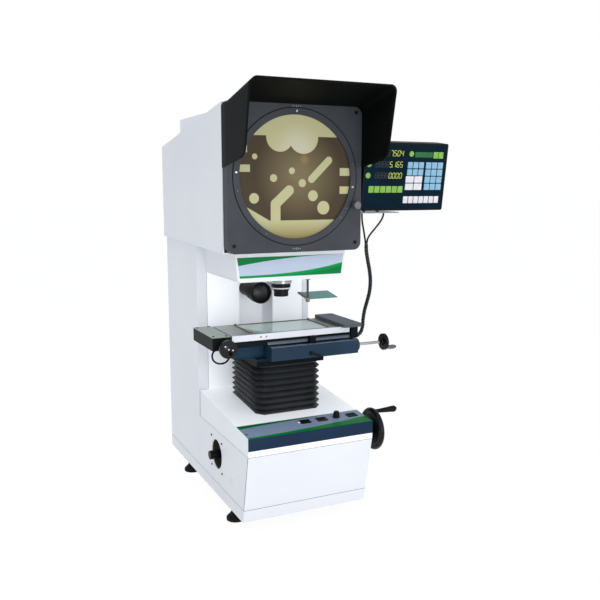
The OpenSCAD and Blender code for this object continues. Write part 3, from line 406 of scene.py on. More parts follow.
# Cords: two leads of the readout join in a wrapped bundle, and one lead loops under the stage
cords = {
    "lead": 5.0, "bundle": 11.0, "core": 9.4, "follow": (690, 470),
    "left": [[226, -35, 797], [226, -35, 785], [229, -33, 768], [235, -30, 748], [240, -27, 730],
             [242.5, -26, 720], [243.5, -25, 713]],
    "right": [[294, -35, 797], [293, -35, 787], [286, -33, 772], [272, -30, 754], [257, -27, 736],
              [250, -26, 724], [248.5, -25, 713]],
    "main": [[246, -25, 712], [248, -24, 690], [256, -19, 662], [266, -12, 634], [275, -2, 604],
             [281, 12, 572], [283, 28, 542], [282, 40, 514], [281, 46, 488], [281, 49, 466],
             [276, 50, 449], [263, 50, 438.5], [246, 50, 436], [226.5, 50, 436]],
    "scale": [[-150, 66, 434], [-160, 66, 433], [-170, 67, 426], [-173, 69, 414], [-168, 72, 401],
              [-156, 75, 392], [-142, 79, 389], [-128, 83, 392], [-118, 86, 402], [-114, 87, 414],
              [-114, 87, 425]],
}


def makeCord(name, route, diameter, body, node):
    path = smoothPath(route)
    obj = makePiece(name, [tube(path, diameter / 2)], finishes["cordSkin"], body, [node])
    return obj, path


makeCord("readoutLeadLeft", cords["left"], cords["lead"], "root", "lead_left")
makeCord("readoutLeadRight", cords["right"], cords["lead"], "root", "lead_right")
makeCord("scaleLead", cords["scale"], cords["lead"], "lift", "scale_lead")
mainCord, mainPath = makeCord("cableBundle", cords["main"], cords["core"], None, "bundle")
wrap = {"radius": cords["bundle"] / 2 - 0.8, "thick": 0.8, "pitch": 9.0, "width": 5.5, "per": 14,
        "start": 6, "stop": 16}


# A spiral wrap: a flat ribbon carried round the bundle, one turn each pitch
def spiralWrap(path, s):
    along = np.concatenate([[0], np.cumsum(np.linalg.norm(np.diff(path, axis=0), axis=1))])
    way = np.arange(s["start"], along[-1] - s["stop"], s["pitch"] / s["per"])

    def at(q):
        return np.stack([np.interp(way, along, q[:, k]) for k in range(3)], axis=1)

    t, u, v = (at(q) for q in pathFrames(path))
    a = (2 * np.pi * way / s["pitch"])[:, None]
    out, half = np.cos(a) * u + np.sin(a) * v, t * s["width"] / 2
    inner = at(path) + out * s["radius"]
    outer = at(path) + out * (s["radius"] + s["thick"])
    return closedStack(np.stack([inner - half, outer - half, outer + half, inner + half], axis=1))


wrapFinish = surfaceFinish("polyethyleneWrapCharcoal", "#383B43", "#2E3138", 0.45, 1.0, 0.15, spec=0.25)
wrapPiece = makePiece("bundleWrap", [spiralWrap(mainPath, wrap)], wrapFinish, None)
for piece in (mainCord, wrapPiece):
    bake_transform(piece)
print("cords laid")

bellows = {"halfX": 93, "y": (-60, 150), "cut": 18, "pleats": 8, "rows": 6, "deep": 9, "round": 0.85,
           "cutShare": 0.4, "top": 405, "gap": 0.3, "sag": 1.2, "cloth": 0.0012, "follow": (272, 405)}


# Pleats: an eight-cornered outline drawn in and out by a rounded zigzag, rising from the sloping
# deck to a level top, with a slight sag in the middle
def bellowsSkin(s):
    h = np.linspace(0, 1, s["pleats"] * s["rows"] + 1)
    zig = np.abs(2 * ((h * s["pleats"]) % 1.0) - 1)  # 1 at the outer folds and 0 at the inner ones
    inset = s["deep"] * (1 - zig ** s["round"])
    halfX, halfY = s["halfX"] - inset, (s["y"][1] - s["y"][0]) / 2 - inset
    cut = s["cut"] - inset * s["cutShare"]

    def corner(sx, sy, ax, ay):
        return np.stack([sx * (halfX - ax * cut), sy * (halfY - ay * cut)], axis=-1)

    base = np.stack([corner(1, -1, 0, 1), corner(1, 1, 0, 1), corner(1, 1, 1, 0), corner(-1, 1, 1, 0),
                     corner(-1, 1, 0, 1), corner(-1, -1, 0, 1), corner(-1, -1, 1, 0),
                     corner(1, -1, 1, 0)], axis=1)
    between = np.linspace(0, 1, 5)[:-1][None, None, :, None]
    flat = base[:, :, None] * (1 - between) + np.roll(base, -1, axis=1)[:, :, None] * between
    flat = flat.reshape(len(h), -1, 2)
    y = flat[..., 1] + sum(s["y"]) / 2
    low = deckAt(y) + s["gap"]
    z = low + h[:, None] * (s["top"] - s["gap"] - low)
    sag = s["sag"] * np.sin(np.pi * h)[:, None] * np.cos(np.pi * flat[..., 0] / (2 * s["halfX"]))
    pts = np.stack([flat[..., 0], y, z - sag], axis=-1)
    return pts.reshape(-1, 3), gridFaces(pts.shape[0], pts.shape[1])


# Gives a sheet its thickness, in metres
def thicken(obj, name, thick, offset):
    solid = obj.modifiers.new(name, "SOLIDIFY")
    solid.thickness, solid.offset = thick, offset


skin = makePiece("bellowsSkin", [bellowsSkin(bellows)], finishes["bellowsCloth"], None, ["bellows"],
                 smooth=40.0)
thicken(skin, "cloth", bellows["cloth"], -1.0)
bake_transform(skin)
print("bellows made")

# The picture on the screen, from the screen's centre: holes (x, z, r), slots (end, end, r) and
# notches (x, z, half width, half height) are lit, and so is all above top, below bottom and
# beyond a corner line (direction, distance)
screen = {"top": 100.5, "bottom": -107.0, "corner": ((0.487, 0, 0.873), 128.3), "soft": 0.7,
          "lit": "#B4B287", "litWarm": "#8E7D50", "litPale": "#C4BFA9",
          "dim": "#45392A", "dimMid": "#75694C", "spot": "#B08E55",
          "holes": [(-110.3, 49.4, 7.0), (-10.9, 15.7, 8.2), (-60.6, -2.2, 9.6), (17.9, -14.4, 10.0),
                    (47.7, -45.9, 13.6), (-112.8, -51.6, 12.8), (77.5, -76.5, 17.2),
                    (-43.2, 98.4, 36.5), (21.4, 98.4, 40.5)],
          "slots": [((43.7, -4.4), (92.4, 42.8), 9.6), ((-18.4, -32.8), (-55.6, -66.0), 12.6),
                    ((-55.6, -66.0), (-55.6, -125.0), 13.2)],
          "notches": [(-138.0, 21.0, 15.0, 8.8), (-142.0, 69.0, 12.0, 10.0), (140.0, 14.2, 15.8, 9.8),
                      (140.0, -32.1, 15.8, 9.4)],
          # a tone's place (x, z), the distances at which it starts and ends, and its share
          "dimFall": ((10, 8), 15.0, 120.0, 1.0), "paleFall": ((5, 70), 75.0, 10.0, 0.8),
          "spotFall": ((24, 44), 17.0, 4.0, 0.3), "warmFall": (-105.0, -150.0),
          "glow": 0.16, "rough": 0.6, "spec": 0.2, "gritScale": 2500.0, "grit": (0.08, 0.0001)}


# The projected part: the nearest of all the lit outlines, as signed distances, gives a soft edge
def screenGlow(s):
    mat, tree, shader, coord = newMaterial("groundGlassBacklit")
    place = addNode(tree, "ShaderNodeMapping",
                    inputs={"Vector": (coord, "Object"), "Scale": (1000, 0, 1000),
                            "Location": (0, 0, -screenMid)})
    axes = addNode(tree, "ShaderNodeSeparateXYZ", inputs={0: (place, 0)})

    def away(x, z):
        return vectorNode(tree, "SUBTRACT", (place, 0), (x, 0, z))

    def distance(x, z):
        return vectorNode(tree, "DISTANCE", (place, 0), (x, 0, z))

    def fall(spec, kind="SMOOTHSTEP"):
        (x, z), start, end, share = spec
        return rangeNode(tree, (distance(x, z), "Value"), start, end, 0.0, share, kind)

    far = []
    for x, z, r in s["holes"]:
        far.append(mathNode(tree, "SUBTRACT", (distance(x, z), "Value"), r))
    for (x0, z0), (x1, z1), r in s["slots"]:
        run, length2 = (x1 - x0, 0.0, z1 - z0), (x1 - x0) ** 2 + (z1 - z0) ** 2
        rel = away(x0, z0)
        dot = vectorNode(tree, "DOT_PRODUCT", (rel, 0), run)
        part = mathNode(tree, "DIVIDE", (dot, "Value"), length2)
        part.use_clamp = True
        foot = addNode(tree, "ShaderNodeVectorMath", {"operation": "SCALE"},
                       {0: run, "Scale": (part, 0)})
        gap = vectorNode(tree, "DISTANCE", (rel, 0), (foot, 0))
        far.append(mathNode(tree, "SUBTRACT", (gap, "Value"), r))
    for x, z, halfW, halfH in s["notches"]:
        size = vectorNode(tree, "ABSOLUTE", (away(x, z), 0))
        size = vectorNode(tree, "SUBTRACT", (size, 0), (halfW, 0, halfH))
        both = addNode(tree, "ShaderNodeSeparateXYZ", inputs={0: (size, 0)})
        far.append(mathNode(tree, "MAXIMUM", (both, 0), (both, 2)))
    far.append(mathNode(tree, "SUBTRACT", s["top"], (axes, 2)))
    far.append(mathNode(tree, "SUBTRACT", (axes, 2), s["bottom"]))
    corner = vectorNode(tree, "DOT_PRODUCT", (place, 0), s["corner"][0])
    far.append(mathNode(tree, "ADD", (corner, "Value"), s["corner"][1]))
    near = far[0]
    for other in far[1:]:
        near = mathNode(tree, "MINIMUM", (near, 0), (other, 0))
    lit = rangeNode(tree, (near, 0), s["soft"], -s["soft"], kind="SMOOTHSTEP")
    dim = mixNode(tree, (fall(s["dimFall"], "LINEAR"), 0), hexLinear(s["dimMid"]), hexLinear(s["dim"]))
    low = rangeNode(tree, (axes, 2), *s["warmFall"])
    glow = mixNode(tree, (low, 0), hexLinear(s["lit"]), hexLinear(s["litWarm"]))
    glow = mixNode(tree, (fall(s["paleFall"]), 0), (glow, 2), hexLinear(s["litPale"]))
    image = mixNode(tree, (lit, 0), (dim, 2), (glow, 2))
    image = mixNode(tree, (fall(s["spotFall"]), 0), (image, 2), hexLinear(s["spot"]))
    grit = noiseNode(tree, (coord, "Object"), s["gritScale"])
    lift = bumpNode(tree, (grit, 0), *s["grit"])
    setInputs(tree, shader, {"Base Color": (image, 2), "Emission Color": (image, 2),
                             "Emission Strength": s["glow"], "Roughness": s["rough"],
                             "Specular IOR Level": s["spec"], "Normal": (lift, 0)})
    return mat


dress("ground_glass", screenGlow(screen))
# Screws and dots of the ring are given as (angle in degrees, radius)
ring = {"radius": 168.5, "face": -100.9, "screws": [(90, 162.0), (176, 160.5), (-8.6, 160.5)],
        "dots": [(-121, 161.5), (-39, 161.5), (-29, 161.5), (12, 161.5), (192, 161.5)],
        "head": [[0, 0], [3.2, 0], [3.2, 1.0], [2.4, 1.8], [0, 2.0]], "dotShare": 0.6,
        "groove": [[-0.4, 0], [-0.4, 0.35], [2.8, 0.35], [2.8, 0], [-0.4, 0]], "grooveFace": -99.9}


def onRing(shape, spots):
    turns = [(math.radians(a), r) for a, r in spots]
    return [placed(shape, (r * math.cos(a), ring["face"], screenMid + r * math.sin(a)), **front)
            for a, r in turns]


# painted shade: a flat black ring laid on the frame at the ring's edge stands for the shadowed groove
# between ring and frame
groove = turned(np.array(ring["groove"]) + [ring["radius"], 0], 160)
makePiece("ringGroovePaintedShade", [placed(groove, (0, ring["grooveFace"], screenMid), **front)],
          finishes["plasticBlack"], "root")
makePiece("ringScrews", onRing(turned(ring["head"], 20), ring["screws"]), finishes["chromeBright"],
          "screen")
makePiece("ringDots", onRing(turned(np.array(ring["head"]) * ring["dotShare"], 16), ring["dots"]),
          finishes["knobGrey"], "screen")
marks = {"x": (-10, -5, 0, 5, 10), "half": (1.4, 1.4, 2.4, 1.4, 1.4), "z": (1063.2, 711.5),
         "halfW": 0.35, "r": 0.1, "thick": 0.25, "face": -100.0}
makePiece("vernierMarks", [placed(tile(marks["halfW"], h, marks["r"], [(0, 0), (0, marks["thick"])], 2),
                                  (x, marks["face"], z), **front)
                           for z in marks["z"] for x, h in zip(marks["x"], marks["half"])],
          finishes["whitePlastic"], "root")
print("screen drawn")

# The hood's stations from back to front; nip is how far and how high its lower front corner is cut
hood = {"half": 186.0, "corner": 16.0, "backCorner": 13.6, "foot": 912.0, "roof": 1069.0,
        "back": -72.0, "knee": -100.0, "kneeLift": 4.0, "tipFoot": -228.0, "tip": -265.0,
        "tipLift": 19.0, "rise": 35.0, "nip": (22, 0.11), "per": 9, "sheet": 0.002}


# Bent sheet: a line up one side, round a corner, across the roof and down again, carried from
# back to front
def hoodSheet(s):
    a = np.linspace(0, np.pi / 2, s["per"])
    up = np.linspace(0, 1, 13)[:-1]
    across = np.linspace(-1, 1, 17)[1:-1]

    def station(yFoot, zFoot, yTop, zTop, r, nip=0.0):
        zBend = zTop - r
        side = np.stack([-s["half"] * np.ones_like(up), zFoot + up * (zBend - zFoot)], axis=1)
        bend = np.stack([-s["half"] + r - r * np.cos(a), zBend + r * np.sin(a)], axis=1)
        roof = np.stack([across * (s["half"] - r), np.full_like(across, zTop)], axis=1)
        half = np.concatenate([side, bend])
        line = np.concatenate([half, roof, half[::-1] * [-1, 1]])
        part = np.clip((line[:, 1] - zFoot) / (zTop - zFoot), 0, 1)
        y = yFoot + part * (yTop - yFoot) + nip * np.clip(1 - part / s["nip"][1], 0, 1) ** 2
        return np.stack([line[:, 0], y, line[:, 1]], axis=1)

    back = station(s["back"], s["foot"], s["back"], s["roof"], s["backCorner"])
    knee = station(s["knee"], s["foot"] + s["kneeLift"], s["knee"], s["roof"], s["backCorner"])
    tip = station(s["tipFoot"], s["foot"] + s["tipLift"], s["tip"], s["roof"] + s["rise"], s["corner"],
                  s["nip"][0])
    t = np.linspace(0, 1, 15)[1:, None, None]
    pts = np.concatenate([back[None], knee[None], knee * (1 - t) + tip * t])
    return pts.reshape(-1, 3), gridFaces(pts.shape[0], pts.shape[1], wrap=False)


hoodPiece = makePiece("hoodSheet", [hoodSheet(hood)], finishes["hoodBlack"], "root", ["hood"], smooth=35.0)
thicken(hoodPiece, "sheet", hood["sheet"], 0.0)
print("hood bent")

film = {"cloudScale": 14.0, "rim": (0.012, 0.75), "grainScale": 1100.0, "grain": (0.06, 0.0002),
        "rough": 0.38, "spec": 0.12}


# Printed film: a ground colour with two sweeping stripes, measured in metres
# The upper stripe's depth is topEdge's first value plus its second times the way left along X, to
# the power of its third; the lower one's grows the same way to the right, with a light rim
def printedFilm(name, ground, green, across, low, high, span, topEdge, lowEdge):
    mat, tree, shader, coord = newMaterial(name)
    axes = addNode(tree, "ShaderNodeSeparateXYZ", inputs={0: (coord, "Object")})
    way = rangeNode(tree, (axes, 0), *span)
    back = mathNode(tree, "SUBTRACT", 1.0, (way, 0))
    bendTop = mathNode(tree, "POWER", (back, 0), topEdge[2])
    bendLow = mathNode(tree, "POWER", (way, 0), lowEdge[2])
    depthTop = mathNode(tree, "MULTIPLY_ADD", (bendTop, 0), topEdge[1], topEdge[0])
    depthLow = mathNode(tree, "MULTIPLY_ADD", (bendLow, 0), lowEdge[1], lowEdge[0])
    lineTop = mathNode(tree, "SUBTRACT", high, (depthTop, 0))
    lineLow = mathNode(tree, "ADD", low, (depthLow, 0))
    above = mathNode(tree, "GREATER_THAN", (axes, across), (lineTop, 0))
    below = mathNode(tree, "LESS_THAN", (axes, across), (lineLow, 0))
    stripe = mathNode(tree, "MAXIMUM", (above, 0), (below, 0))
    cloud = noiseNode(tree, (coord, "Object"), film["cloudScale"])
    tone = mixNode(tree, (cloud, 0), hexLinear(ground[0]), hexLinear(ground[1]))
    ink = mixNode(tree, (cloud, 0), hexLinear(green[0]), hexLinear(green[1]))
    inStripe = mathNode(tree, "SUBTRACT", (lineLow, 0), (axes, across))
    rim = rangeNode(tree, (inStripe, 0), 0.0, film["rim"][0], film["rim"][1], 0.0)
    rim = mathNode(tree, "MULTIPLY", (rim, 0), (below, 0))
    ink = mixNode(tree, (rim, 0), (ink, 2), hexLinear(green[2]))
    printed = mixNode(tree, (stripe, 0), (tone, 2), (ink, 2))
    grain = noiseNode(tree, (coord, "Object"), film["grainScale"])
    lift = bumpNode(tree, (grain, 0), *film["grain"])
    setInputs(tree, shader, {"Base Color": (printed, 2), "Normal": (lift, 0),
                             "Roughness": film["rough"], "Specular IOR Level": film["spec"]})
    return mat


controlFilm = printedFilm("polyesterFilmControl", ("#8797B4", "#91A1BC"),
                          ("#007A38", "#006B31", "#0A9A4A"), 1, rowY(-194), rowY(-112.5),
                          (-0.172, 0.172), (0.001, 0.019, 1.7), (0.006, 0.032, 1.9))
dress("control_panel", controlFilm)
chinPanel = {"z": (639.0, 691.0), "half": (143.0, 150.0), "face": -70.0, "thick": 0.8, "gap": 0.02}


# Chin panel: a plate whose half width grows with height, drawn as a thin closed slab
def chinPlate(s):
    part = np.linspace(0, 1, 9)
    half = s["half"][0] + (s["half"][1] - s["half"][0]) * part
    z = s["z"][0] + (s["z"][1] - s["z"][0]) * part
    back, face = np.full_like(z, s["face"] - s["gap"]), np.full_like(z, s["face"] - s["thick"])
    corners = ((-half, back), (half, back), (half, face), (-half, face))
    return closedStack(np.stack([np.stack([x, y, z], axis=1) for x, y in corners], axis=1))


chinFilm = printedFilm("polyesterFilmChin", ("#B9C7DC", "#C3D0E2"), ("#008542", "#007539", "#14A858"),
                       2, 0.639, 0.691, (-0.15, 0.15), (0.0, 0.021, 2.2), (0.006, 0.025, 2.8))
makePiece("chinPanel", [chinPlate(chinPanel)], chinFilm, "root")
print("overlays printed")

# The readout's lower left corner, its lean and face; keys are set out from that corner as
# (x0, x1, z0, z1, count along, count up, gap)
dro = {"corner": (190.0, -90.0, 803.0), "lean": 8.0, "w": 258.0, "h": 180.0, "rim": 5.2,
       "blue": [(133, 184, 94.5, 130, 3, 2, 2.2), (191, 246, 55.7, 130, 3, 4, 2.2)],
       "white": [(130.5, 183, 55.7, 92.5, 2, 2, 2.2), (128, 242, 20, 38.5, 7, 1, 2.2)],
       "green": [(18.2, 122.9, 48.5, 66, 6, 1, 2.2), (212, 243.6, 140.5, 157.5, 2, 1, 1.2)],
       "discs": [(13.6, 93.4), (14.3, 122.6), (15, 151.8), (142, 151.3)],
       "disc": [[0, -0.4], [7.4, -0.4], [7.4, 0.5], [6.9, 0.9], [0, 0.9]],
       "window": (28, 6.9, 0.8), "windowAt": (181.6, 149.5)}
lean = math.radians(dro["lean"])
droU = np.array([1.0, 0, 0])
droV = np.array([0, -math.sin(lean), math.cos(lean)])
droW = np.array([0, -math.cos(lean), -math.sin(lean)])


def onReadout(shape, x, z):
    return placed(shape, np.array(dro["corner"]) + x * droU + z * droV, droU, droV, droW)


# Key caps with softened tops, sunk a little into the face
def keyCaps(blocks, r=1.2, sunk=0.4, edge=0.4, rise=1.0):
    caps = []
    for x0, x1, z0, z1, nx, nz, gap in blocks:
        w, h = (x1 - x0 - gap * (nx - 1)) / nx, (z1 - z0 - gap * (nz - 1)) / nz
        cap = tile(w / 2, h / 2, r, [(0, -sunk), (0, rise - sunk), (edge, rise)], 4)
        caps += [onReadout(cap, x0 + w / 2 + i * (w + gap), z0 + h / 2 + k * (h + gap))
                 for i in range(nx) for k in range(nz)]
    return caps


def keyFinish(name, colour, dark):
    return surfaceFinish(name, colour, dark, 0.42, 0.9, 0.08, cloud=12.0)


droFilm = surfaceFinish("polyesterFilmNavyGloss", "#04202F", "#031927", 0.3, 1.0, 0.04, cloud=70.0,
                        spec=0.06)
overlay = tile(dro["w"] / 2 - dro["rim"], dro["h"] / 2 - dro["rim"], 3, [(0, -1.4), (0, -0.3), (0.3, 0.0)])
makePiece("readoutOverlay", [onReadout(overlay, dro["w"] / 2, dro["h"] / 2)], droFilm, "dro", ["dro_face"])
makePiece("readoutKeysBlue", keyCaps(dro["blue"]), keyFinish("polyesterKeyBlue", "#8CBDD8", "#7FB2CF"),
          "dro")
makePiece("readoutKeysWhite", keyCaps(dro["white"]), keyFinish("polyesterKeyWhite", "#E8E6EA", "#DEDCE1"),
          "dro")
makePiece("readoutKeysGreen",
          keyCaps(dro["green"]) + [onReadout(turned(dro["disc"], 28), x, z) for x, z in dro["discs"]],
          keyFinish("polyesterKeyGreen", "#86BA48", "#79AD3E"), "dro")
makePiece("readoutWindow",
          [onReadout(tile(*dro["window"], [(0, -0.3), (0, 0.15), (0.15, 0.25)], 4), *dro["windowAt"])],
          surfaceFinish("acrylicTintedGreen", "#0B6B2C", "#085C25", 0.15, 2.0, 0.02, cloud=40.0), "dro")
# Rows of figures as (height, figures); unlit eights fill the places on their left
figures = {"rows": [(145.0, "7504"), (115.8, "5165"), (86.6, "0000")], "last": 108.5, "pitch": 10.6,
           "w": 7.2, "h": 14.0, "bar": 0.8, "faintBar": 0.55, "unlit": 4, "lean": 0.12, "r": 0.4,
           "levels": [(0, 0.02), (0, 0.22)], "point": 85.2, "pointR": 0.3}
segmentsOf = {"0": "abcdef", "1": "bc", "4": "bcfg", "5": "acdfg", "6": "acdefg", "7": "abc",
              "8": "abcdefg"}


# A seven-segment figure: bars along its sides, leaning with the height
def figure(mark, x, z, bar, s):
    w, h = s["w"], s["h"]
    spot = {"a": (w / 2, h, 1), "d": (w / 2, 0, 1), "g": (w / 2, h / 2, 1), "f": (0, 0.75 * h, 0),
            "b": (w, 0.75 * h, 0), "e": (0, 0.25 * h, 0), "c": (w, 0.25 * h, 0)}
    shapes = []
    for segment in segmentsOf[mark]:
        dx, dz, flat = spot[segment]
        halfW, halfH = (w / 2 - bar, bar) if flat else (bar, h / 4 - bar * 0.6)
        shapes.append(onReadout(tile(halfW, halfH, s["r"], s["levels"], 3),
                                x + dx + s["lean"] * dz, z + dz))
    return shapes


def glowFinish(name, colour, strength):
    mat = surfaceFinish(name, colour, colour, 0.35, 1.0, 0.02, cloud=15.0)
    setInputs(mat.node_tree, findNode(mat, "BSDF_PRINCIPLED"),
              {"Emission Color": hexLinear(colour), "Emission Strength": strength})
    return mat


bright, faint = [], []
point = tile(figures["bar"], figures["bar"], figures["pointR"], figures["levels"], 3)
for z, digits in figures["rows"]:
    marksOfRow = digits[::-1] + "8" * figures["unlit"]
    for k, mark in enumerate(marksOfRow):
        lit = k < len(digits)
        shapes = figure(mark, figures["last"] - k * figures["pitch"], z,
                        figures["bar" if lit else "faintBar"], figures)
        (bright if lit else faint).extend(shapes)
    bright.append(onReadout(point, figures["point"], z))
makePiece("readoutFigures", bright, glowFinish("ledFiguresLime", "#B4C04A", 0.3), "dro")
makePiece("readoutFiguresFaint", faint,
          surfaceFinish("ledFiguresUnlit", "#3A3A36", "#33332F", 0.4, 1.0, 0.02), "dro")
print("readout drawn")

# Small turned heads on the stage, each with its profile, places and finish
clamps = {"profile": [[0, 0], [4.2, 0], [4.2, 3.0], [3.6, 4.0], [2.0, 4.2], [2.0, 6.0], [1.6, 6.4],
                      [0, 6.4]],
          "at": [(x, y, stageTop - 0.6) for x in (-109.5, 109.5) for y in (-60.0, 60.0)]}
wheelDots = {"profile": [[0, 0], [2.4, 0], [2.2, 0.9], [1.2, 1.5], [0, 1.7]],
             "at": [(-190 + x, -112.0, 470 + z) for x, z in ((0, 0), (10.5, -2.5), (-9, 8))]}
stageScrew = {"profile": [[0, 0], [3.0, 0], [3.0, 1.2], [2.2, 1.9], [0, 2.0]],
              "block": [(-214, -66, 495.8), (-214, 66, 495.8), (-182, -70, 495.8), (-182, 70, 495.8)],
              "cover": [(183.5, -60, 500.8), (183.5, 55, 500.8)]}
makePiece("glassClamps", [placed(turned(clamps["profile"], 24), p) for p in clamps["at"]],
          finishes["brass"], "table")
makePiece("wheelDots", [placed(turned(wheelDots["profile"], 18), p, **front) for p in wheelDots["at"]],
          finishes["chromeBright"], "y_wheel")
for part in ("block", "cover"):
    makePiece(part + "Screws", [placed(turned(stageScrew["profile"], 18), p) for p in stageScrew[part]],
              finishes["plasticBlack"], "carriage")

# The table has a bright machined front edge and the end block a ground top; the saddle's lower box gets
# painted shade, darker downwards under the bar
blendAlongAxis(finishes["tableGrey"], 1, rowY(-75.4), rowY(-75.8), "#E2E4EC")
blockFinish = finishes["carriageGrey"].copy()
blockFinish.name = "aluminiumPaintCharcoalGroundTop"
blendAlongAxis(blockFinish, 2, 0.4944, 0.4950, "#A3ADA7")
dress("carriage", blockFinish)
saddleFinish = surfaceFinish("castIronPaintBlueWithPaintedShade", "#254359", "#1F394D", 0.45, 1.4, 0.12, spec=0.06)
# painted shade: below the bar the saddle's blue is blended to near black towards the bottom
blendAlongAxis(saddleFinish, 2, 0.435, 0.415, "#0A1215")
dress("saddle", saddleFinish)
dress("scale_cover", surfaceFinish("aluminiumPaintGrey", "#565F66", "#4D565C", 0.42, 1.0, 0.14, spec=0.15))


def halfOf(span):
    return (span[1] - span[0]) / 2


def midOf(span):
    return sum(span) / 2


# Ground lands, light in colour as a painted reflection of the glossy bar top: on the bar before the nut's
# slot, and on the carriage's front beside the nut
barTop = {"x": (-69.0, 181.0), "y": (-99.4, -86.6), "z": 460.0, "thick": 0.4, "r": 0.5}
# painted reflection: this light grey-blue plate stands for the bar's top catching the light
barLand = plate(halfOf(barTop["x"]), halfOf(barTop["y"]), barTop["r"], barTop["thick"])
makePiece("barTop", [placed(barLand, (midOf(barTop["x"]), midOf(barTop["y"]), barTop["z"]))],
          surfaceFinish("castIronGroundPaintedReflection", "#8C97A8", "#7B8698", 0.34, 0.7, 0.1, 0.3,
                        stretch=(0.06, 1, 1)), "lift")
# The bar carries a small lock lever, and the X screw ends in a bright shaft
lever = {"hub": [[0, 0], [5, 0], [5, 5], [4, 6], [0, 6]], "at": (42, -99.9, 437), "r": 2.4,
         "arm": [[42, -103.5, 437], [54, -105, 433], [67, -106, 429]]}
makePiece("barLever", [placed(turned(lever["hub"], 24), lever["at"], **front),
                       tube(smoothPath(lever["arm"]), lever["r"], 12)], finishes["plasticBlack"], "lift")
shaft = {"x": (196.0, 262.0), "y": -75.0, "z": 442.5, "r": 4.15}
shaftLine = np.array([[x, shaft["y"], shaft["z"]] for x in shaft["x"]])
makePiece("xShaft", [tube(shaftLine, shaft["r"], 20)], finishes["lensSteel"], "x_wheel")
land = {"x": ((-69.0, 46.5), (63.5, 172.0)), "z": (462.4, 471.0), "front": -70.0, "thick": 0.4, "r": 0.5}
# painted reflection and shade: the land is light at its foot and blended to near black towards its top
# under the table
landFinish = surfaceFinish("castIronGroundPaintedReflectionAndShade", "#7C8999", "#6D7A8A", 0.34, 0.7, 0.1, 0.2,
                           stretch=(0.06, 1, 1))
blendAlongAxis(landFinish, 2, 0.4650, 0.4715, "#1A2226")
makePiece("carriageLand", [placed(plate(halfOf(x), halfOf(land["z"]), land["r"], land["thick"]),
                                  (midOf(x), land["front"], midOf(land["z"])), **front)
                           for x in land["x"]], landFinish, "carriage")
# Browned strips at both ends of the glass and behind it
strips = {"x": 109.5, "y": 64.4, "halfW": 2.2, "halfL": 64.0, "halfBack": 107.0, "thick": 1.4, "r": 0.6}
endStrip = plate(strips["halfW"], strips["halfL"], strips["r"], strips["thick"])
backStrip = plate(strips["halfBack"], strips["halfW"] / 2, strips["r"], strips["thick"])
makePiece("glassStrips", [placed(endStrip, (side * strips["x"], 0, stageTop)) for side in (-1, 1)]
          + [placed(backStrip, (0, strips["y"], stageTop))],
          surfaceFinish("steelBrowned", "#6B5138", "#553F2B", 0.4, 0.8, 0.1, 0.5, cloud=30.0), "table")
print("stage trimmed")

# Rings of the lens as (radius, height), each with its finish
lensRings = {
    "Chrome": ("lensSteel", [[22, 612], [27, 612], [29, 614], [29, 618], [28.2, 619], [29, 620],
                             [29, 627.8], [22, 627.8]]),
    "Band": ("lensBlack", [[22, 602], [25.4, 602], [25.8, 602.6], [25.8, 611], [25.4, 611.6], [22, 611.6]]),
    "Line": ("whitePlastic", [[22, 598.6], [24.7, 598.6], [24.7, 601.4], [22, 601.4]]),
}
for part, (finish, profile) in lensRings.items():
    makePiece("lensRing" + part, [turned(profile + profile[:1], 48)], finishes[finish], "root")
print("lens ringed")

rocker = {"x": (4.0, 52.0, 140.0), "y": -142.0, "outer": (14.0, 11.2), "inner": (9.7, 7.6), "low": 1.3,
          "top": 3.6, "edge": 0.6, "r": 1.6}


# A rocker's frame: a rounded outline up, over and down inside the opening
def rockerFrame(s):
    eased = tuple(half - s["edge"] for half in s["outer"])
    loops = [(s["outer"], s["low"]), (s["outer"], s["top"] - s["edge"]), (eased, s["top"]),
             (s["inner"], s["top"]), (s["inner"], s["low"]), (s["outer"], s["low"])]
    rings = [(roundRect(*half, s["r"]), z) for half, z in loops]
    pts = np.stack([np.column_stack([flat, np.full(len(flat), z)]) for flat, z in rings])
    return pts.reshape(-1, 3), gridFaces(pts.shape[0], pts.shape[1])


makePiece("rockerFrames", [placed(rockerFrame(rocker), (x, rocker["y"], deckAt(rocker["y"])), **deckUp)
                           for x in rocker["x"]], finishes["plasticBlack"], "root")
# Seams of the panels, drawn as thin tubes that paint the shade in the gaps between panels, darker on the
# front than on the sides: the front leans back by its slope times the height over its foot
seams = {"r": 0.45, "half": 173.5, "low": 67.0, "high": 216.0, "corner": 3.0, "back": 494.0,
         "column": 179.7, "deck": 292.0, "inner": 148.0, "innerY": 180.0, "inside": (294.0, 702.0),
         "foot": (-153, 33), "slope": (-41, 183)}


def frontAt(z):
    return seams["foot"][0] + seams["slope"][0] * (z - seams["foot"][1]) / seams["slope"][1]


def seamLine(*ends):
    return tube(np.array(ends, float), seams["r"], 6)


# painted shade: dark tubes along the front seams stand for the shadowed gaps
makePiece("frontSeams", [seamLine((-seams["half"], frontAt(z), z), (seams["half"], frontAt(z), z))
                         for z in (seams["low"], seams["high"])],
          surfaceFinish("seamPaintedShadeDark", "#2B2E33", "#23262A", 0.6, 0.8, 0.1), "root")
sideLines = []
for sign in (-1, 1):
    x, inner = sign * seams["half"], sign * seams["inner"]
    corners = [(frontAt(z) + seams["corner"], z) for z in (seams["low"], seams["high"])]
    corners += [(seams["column"], seams["high"]), (seams["column"], seams["deck"])]
    sideLines += [seamLine((x, *a), (x, *b)) for a, b in zip(corners, corners[1:])]
    sideLines.append(seamLine((x, *corners[0]), (x, seams["back"], seams["low"])))
    sideLines.append(seamLine(*((inner, seams["innerY"], z) for z in seams["inside"])))
